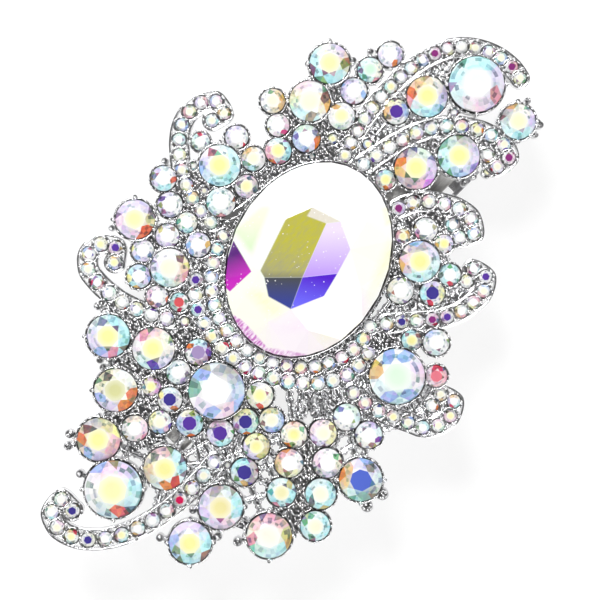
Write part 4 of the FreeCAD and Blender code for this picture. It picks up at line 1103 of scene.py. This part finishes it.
def oval_turn(x, y):
    """The angle, on the oval's own circle, of a point."""
    dx, dy = x - OVAL_MIDDLE.x, y - OVAL_MIDDLE.y
    along = dx * math.cos(OVAL_TILT) + dy * math.sin(OVAL_TILT)
    across = -dx * math.sin(OVAL_TILT) + dy * math.cos(OVAL_TILT)
    return math.atan2(across / OVAL_HALF[1], along / OVAL_HALF[0])


def crown_height(share):
    """Height of the crown above the oval's back, at a share of the way out."""
    return float(np.interp(share, [0.5, 0.82, 1.0], [OVAL_TABLE, 0.0043, OVAL_GIRDLE]))


work = bmesh.new()
tint = work.loops.layers.float_color.new("film")


def oval_point(share, turn, height):
    return work.verts.new((*on_oval(share, turn), OVAL_BACK + height))


table_ring = [work.verts.new((x / 1000, y / 1000, OVAL_BACK + OVAL_TABLE))
              for x, y in TABLE_CORNERS]
table_ring = sorted(table_ring, key=lambda v: oval_turn(v.co.x, v.co.y))
turns = [oval_turn(v.co.x, v.co.y) for v in table_ring]
stars, girdle_turns = [], []
for turn, nxt in zip(turns, turns[1:] + [turns[0] + 2 * math.pi]):
    middle = (turn + nxt) / 2
    stars.append(oval_point(STAR_OUT, middle, crown_height(STAR_OUT)))
    girdle_turns += [turn, (turn + middle) / 2, middle, (middle + nxt) / 2]
girdle = [oval_point(1.0, turn, OVAL_GIRDLE) for turn in girdle_turns]
belt = [oval_point(1.0, turn, OVAL_BELT) for turn in girdle_turns]
foot = [oval_point(OVAL_FOOT, turn, 0) for turn in girdle_turns]
count = len(girdle)
work.faces.new(table_ring)
for i in range(len(table_ring)):
    star, before = stars[i], stars[i - 1]
    corner, nxt = table_ring[i], table_ring[(i + 1) % len(table_ring)]
    on = [girdle[(4 * i + k) % count] for k in range(-1, 6)]
    work.faces.new((corner, star, nxt))
    work.faces.new((corner, before, on[0], on[1], on[2], star))
    work.faces.new((star, on[2], on[3]))
    work.faces.new((star, on[3], on[4]))
for i in range(count):
    j = (i + 1) % count
    work.faces.new((girdle[i], belt[i], belt[j], girdle[j]))
    work.faces.new((belt[i], foot[i], foot[j], belt[j]))
work.faces.new(foot)
bmesh.ops.triangulate(work, faces=[f for f in work.faces if len(f.verts) == 6])
bmesh.ops.recalc_face_normals(work, faces=work.faces)
for face in work.faces:
    out = face.calc_center_median().xy - OVAL_MIDDLE
    bearing = math.degrees(math.atan2(out.y, out.x)) + CAMERA_TURN
    colour = film_at(bearing, OVAL_TINTS, OVAL_TINT_SPREAD)
    for loop in face.loops:
        loop[tint] = (*shown(OVAL_SIDE if face.normal.z < STEEP else colour), 1.0)
oval_mesh = bpy.data.meshes.new("oval_brilliant")
work.to_mesh(oval_mesh)
work.free()


class Window:
    """Facets of the back seen through the oval: polygons, in millimetres, painted on its film."""

    def __init__(self, finish):
        self.finish = finish
        split = finish.node("ShaderNodeSeparateXYZ", None, {0: finish.place((1000, 1000, 1000))})
        self.x = Amount(finish, split.outputs[0])
        self.y = Amount(finish, split.outputs[1])

    def ramp(self, start, end):
        """0 at one point and 1 at another, straight across."""
        dx, dy = end[0] - start[0], end[1] - start[1]
        length = dx * dx + dy * dy
        share = (self.x - start[0]) * (dx / length) + (self.y - start[1]) * (dy / length)
        return self.finish.limited(share, 0.0, 1.0)

    def inside(self, corners, soft):
        """1 inside a polygon whose corners turn counter-clockwise, with edges a little soft."""
        mask = None
        for (ax, ay), (bx, by) in zip(corners, corners[1:] + corners[:1]):
            length = math.hypot(bx - ax, by - ay)
            away = ((self.y - ay) * ((bx - ax) / length) - (self.x - ax) * ((by - ay) / length))
            edge = self.finish.limited(away, -soft, soft)
            mask = edge if mask is None else mask * edge
        return mask


SLATE = (0.30, 0.31, 0.33)


def oval_crystal():
    finish = Finish("coated_oval_crystal", Roughness=0.04, IOR=1.5, Coat_Weight=0.3,
                    Coat_Roughness=0.03)
    window = Window(finish)
    colour = finish.node("ShaderNodeAttribute", {"attribute_name": "film"}).outputs["Color"]
    mottle = finish.amount("ShaderNodeTexNoise", None,
                           {"Vector": finish.place((1, 3.2, 1)), "Scale": 900.0, "Detail": 6.0})
    speck_cells = finish.amount("ShaderNodeTexVoronoi", None, {"Vector": finish.place(), "Scale": 1500.0})
    patch = finish.amount("ShaderNodeTexNoise", None, {"Vector": finish.place(), "Scale": 260.0})
    # Small white specks, in patches, over the oval's colour.
    speck = finish.limited(0.17 - speck_cells, 0.0, 0.05) * finish.limited(patch, 0.46, 0.56)

    def tone(first, second, share):
        return finish.blend(share, (*shown(first), 1), (*shown(second), 1))

    olive = tone((0.64, 0.63, 0.50), (0.75, 0.73, 0.27),
                 window.ramp((1.5, 4.2), (6.0, 7.2)) * 0.7 + mottle * 1.3 - 0.5)
    olive = finish.blend(window.ramp((2.6, 4.4), (0.9, 2.7)) * 0.9, olive, (*shown(SLATE), 1))
    navy = tone((0.24, 0.28, 0.58), SLATE, window.ramp((-0.6, 1.0), (1.9, 3.4)))
    violet = tone((0.44, 0.42, 0.98), (0.34, 0.16, 0.80), window.ramp((1.5, -1.8), (5.2, 0.7)))
    lilac = tone((0.74, 0.60, 0.99), (0.93, 0.87, 0.98), window.ramp((6.0, 0.0), (10.5, 4.5)))
    wedge = tone((0.86, 0.83, 0.76), (0.93, 0.91, 0.86), mottle)
    magenta = tone((0.78, 0.10, 0.74), (0.34, 0.08, 0.47), window.ramp((-2.6, 7.9), (-1.4, 11.0)))
    green = tone((0.84, 1.0, 0.76), (1.0, 1.0, 0.88), window.ramp((1.5, 10.0), (8.0, 12.4)))
    yellow = tone((0.98, 0.98, 0.74), (1.0, 1.0, 0.92), mottle)
    pink = tone((0.99, 0.88, 0.98), (1.0, 0.96, 1.0), mottle)
    streak = tone((0.78, 0.30, 0.76), (0.99, 0.90, 0.99), finish.limited(mottle, 0.42, 0.60))
    # each pane's corners, in millimetres, its colour, the softness of its edge and its strength
    panes = [
        ([(1.3, 9.0), (8.1, 11.7), (7.3, 12.9), (1.7, 13.2)], green, 0.5, 0.9),
        ([(17.6, -1.6), (19.0, -2.4), (20.2, -0.4), (19.0, 0.6)], yellow, 0.3, 0.6),
        ([(12.6, 12.0), (16.8, 9.4), (18.2, 7.0), (13.4, 9.0)], yellow, 0.5, 0.6),
        ([(8.0, -7.6), (15.5, -6.0), (17.0, -3.5), (13.6, -4.4)], yellow, 0.8, 0.7),
        ([(-3.2, 0.4), (-0.8, 0.0), (-1.2, 4.6), (-3.0, 5.6)], yellow, 0.8, 0.8),
        ([(-4.6, 0.2), (0.6, -5.4), (6.8, -8.4), (9.0, -5.0), (2.0, -3.0)], pink, 1.2, 0.9),
        ([(-0.4, -6.6), (1.8, -8.2), (4.6, -8.2), (2.0, -5.4)], yellow, 0.8, 0.5),
        ([(-7.2, 6.4), (-8.0, 3.3), (-8.0, 0.4), (-6.6, -2.2), (-6.35, 0.8), (-6.3, 3.2)],
         streak, 0.14, 0.85),
        ([(-7.6, -0.8), (-6.6, -4.4), (-3.2, -6.9), (-4.6, -4.6)], streak, 0.16, 0.6),
        ([(0.8, 12.2), (-3.9, 9.9), (-4.8, 8.8), (-4.7, 7.4), (-0.5, 7.2)], magenta, 0.08, 1.0),
        ([(0.2, 5.3), (4.04, 1.5), (11.8, 4.5), (12.0, 7.5), (8.2, 9.0), (0.5, 6.4)],
         olive, 0.10, 1.0),
        ([(-1.3, 3.0), (-0.3, -0.5), (4.04, 1.5), (0.2, 5.3)], navy, 0.10, 1.0),
        ([(-0.3, -0.5), (4.3, -2.5), (7.9, -1.6), (4.04, 1.5)], violet, 0.06, 1.0),
        ([(4.04, 1.5), (7.9, -1.6), (11.6, -0.5), (13.4, 3.3), (11.8, 4.5)], lilac, 0.08, 1.0),
        ([(11.8, 4.5), (13.4, 3.3), (12.0, 7.5), (10.6, 7.2)], wedge, 0.10, 1.0),
    ]
    for corners, paint, soft, strength in panes:
        colour = finish.blend(window.inside(corners, soft) * strength, colour, paint)
    colour = finish.blend(speck * 0.8, colour, (1, 1, 1, 1))
    return finish.paint(Base_Color=colour)


add_piece("oval_brilliant", oval_mesh, oval_crystal(), "ornament",
          ["oval_stone"])

# The bezel is a thin bright wall, burnished over the oval's girdle.
BEZEL_WIRE = 0.00013
BEZEL_OUT = 1.0 + 0.00022 / 0.0128
BEZEL_STEPS = 96
BEZEL_RISE = 0.0008                           # above the rims of the round stones' seats
bezel = bpy.data.meshes.new("bezel_line")
bezel.from_pydata([(*on_oval(BEZEL_OUT, 2 * math.pi * i / BEZEL_STEPS), SEAT_RIM + BEZEL_RISE)
                   for i in range(BEZEL_STEPS)],
                  [(i, (i + 1) % BEZEL_STEPS) for i in range(BEZEL_STEPS)], [])
growth = Growth("oval_bezel", wire=BEZEL_WIRE)
wire = growth.tube(growth.lines(growth.size("Geometry")), growth.size("wire"), 8)
add_metalwork("oval_bezel", growth.grow(bezel, wire, rim_finish), rim_finish)

# ------------------------------------------------------------------- the table, lamps and camera
# A white table, two soft square lamps, a room that is bright below and dark overhead, where the
# metal mirrors it, and a long lens straight above.
VIEW_MIDDLE = Vector((0.001515, -0.000505, 0.0))
VIEW_WIDTH = 0.0857
LENS = 135.0
SENSOR = 36.0
LEVEL = 0.016                                 # height of the stones, at which the lens is set
TABLE_SIDE = 8.0
ROOM_LEVELS = [(0.0, 1.0), (0.34, 1.0), (0.44, 0.8), (0.52, 0.08), (1.0, 0.12)]
ROOM_STRENGTH = 1.1
floor_mesh = bpy.data.meshes.new("white_table")
floor_mesh.from_pydata([(x * TABLE_SIDE / 2, y * TABLE_SIDE / 2, 0)
                        for x, y in ((-1, -1), (1, -1), (1, 1), (-1, 1))], [], [(0, 1, 2, 3)])
floor = bpy.data.objects.new("white_table", floor_mesh)
bpy.context.scene.collection.objects.link(floor)
table_top = Finish("white_table_top", Base_Color=(0.36, 0.36, 0.36, 1), Roughness=0.9)
ray = table_top.node("ShaderNodeLightPath")
seen = table_top.node("ShaderNodeMath", {"operation": "MAXIMUM"},
                      {0: ray.outputs["Is Camera Ray"], 1: ray.outputs["Is Glossy Ray"]})
glow = table_top.node("ShaderNodeEmission", None, {"Color": (1, 1, 1, 1), "Strength": 0.70})
lift = table_top.node("ShaderNodeMixShader", None, {0: seen.outputs[0], 2: glow.outputs[0]})
both = table_top.node("ShaderNodeAddShader", None,
                      {0: table_top.shader.outputs[0], 1: lift.outputs[0]})
table_top.material.node_tree.links.new(both.outputs[0],
                                       table_top.nodes["Material Output"].inputs[0])
floor_mesh.materials.append(table_top.material)

room = bpy.data.worlds.new("studio_room")
bpy.context.scene.world = room
room.use_nodes = True
links, nodes = room.node_tree.links, room.node_tree.nodes
towards = nodes.new("ShaderNodeTexCoord")
split = nodes.new("ShaderNodeSeparateXYZ")
links.new(towards.outputs["Generated"], split.inputs[0])
ceiling = nodes.new("ShaderNodeValToRGB")
while len(ceiling.color_ramp.elements) < len(ROOM_LEVELS):
    ceiling.color_ramp.elements.new(0.5)
for stop, (place, level) in zip(ceiling.color_ramp.elements, ROOM_LEVELS):
    stop.position, stop.color = place, (level, level, level, 1)
links.new(split.outputs[2], ceiling.inputs[0])
links.new(ceiling.outputs[0], nodes["Background"].inputs["Color"])
nodes["Background"].inputs["Strength"].default_value = ROOM_STRENGTH

turn = math.radians(CAMERA_TURN)
right = Vector((math.cos(turn), -math.sin(turn), 0))
up = Vector((math.sin(turn), math.cos(turn), 0))


def soft_lamp(name, across, along, height, size, power):
    """A square lamp, placed as the camera has it and aimed at the stones."""
    lamp = bpy.data.objects.new(name, bpy.data.lights.new(name, "AREA"))
    lamp.data.shape = "SQUARE"
    lamp.data.size = size
    lamp.data.energy = power
    lamp.location = VIEW_MIDDLE + right * across + up * along + Vector((0, 0, height))
    aim = VIEW_MIDDLE + Vector((0, 0, LEVEL)) - lamp.location
    lamp.rotation_euler = aim.to_track_quat("-Z", "Y").to_euler()
    bpy.context.scene.collection.objects.link(lamp)


soft_lamp("key_lamp", across=-0.10, along=0.24, height=0.36, size=0.18, power=1.35)
soft_lamp("fill_lamp", across=0.14, along=-0.26, height=0.34, size=0.20, power=0.75)

camera = bpy.data.objects.new("camera", bpy.data.cameras.new("camera"))
camera.data.lens = LENS
camera.data.sensor_width = SENSOR
camera.location = VIEW_MIDDLE + Vector((0, 0, LEVEL + VIEW_WIDTH * LENS / SENSOR))
camera.rotation_euler = (0, 0, -turn)
camera.data.clip_start, camera.data.clip_end = 0.01, 10
bpy.context.scene.collection.objects.link(camera)
bpy.context.scene.camera = camera
bpy.context.scene.view_settings.view_transform = "Standard"
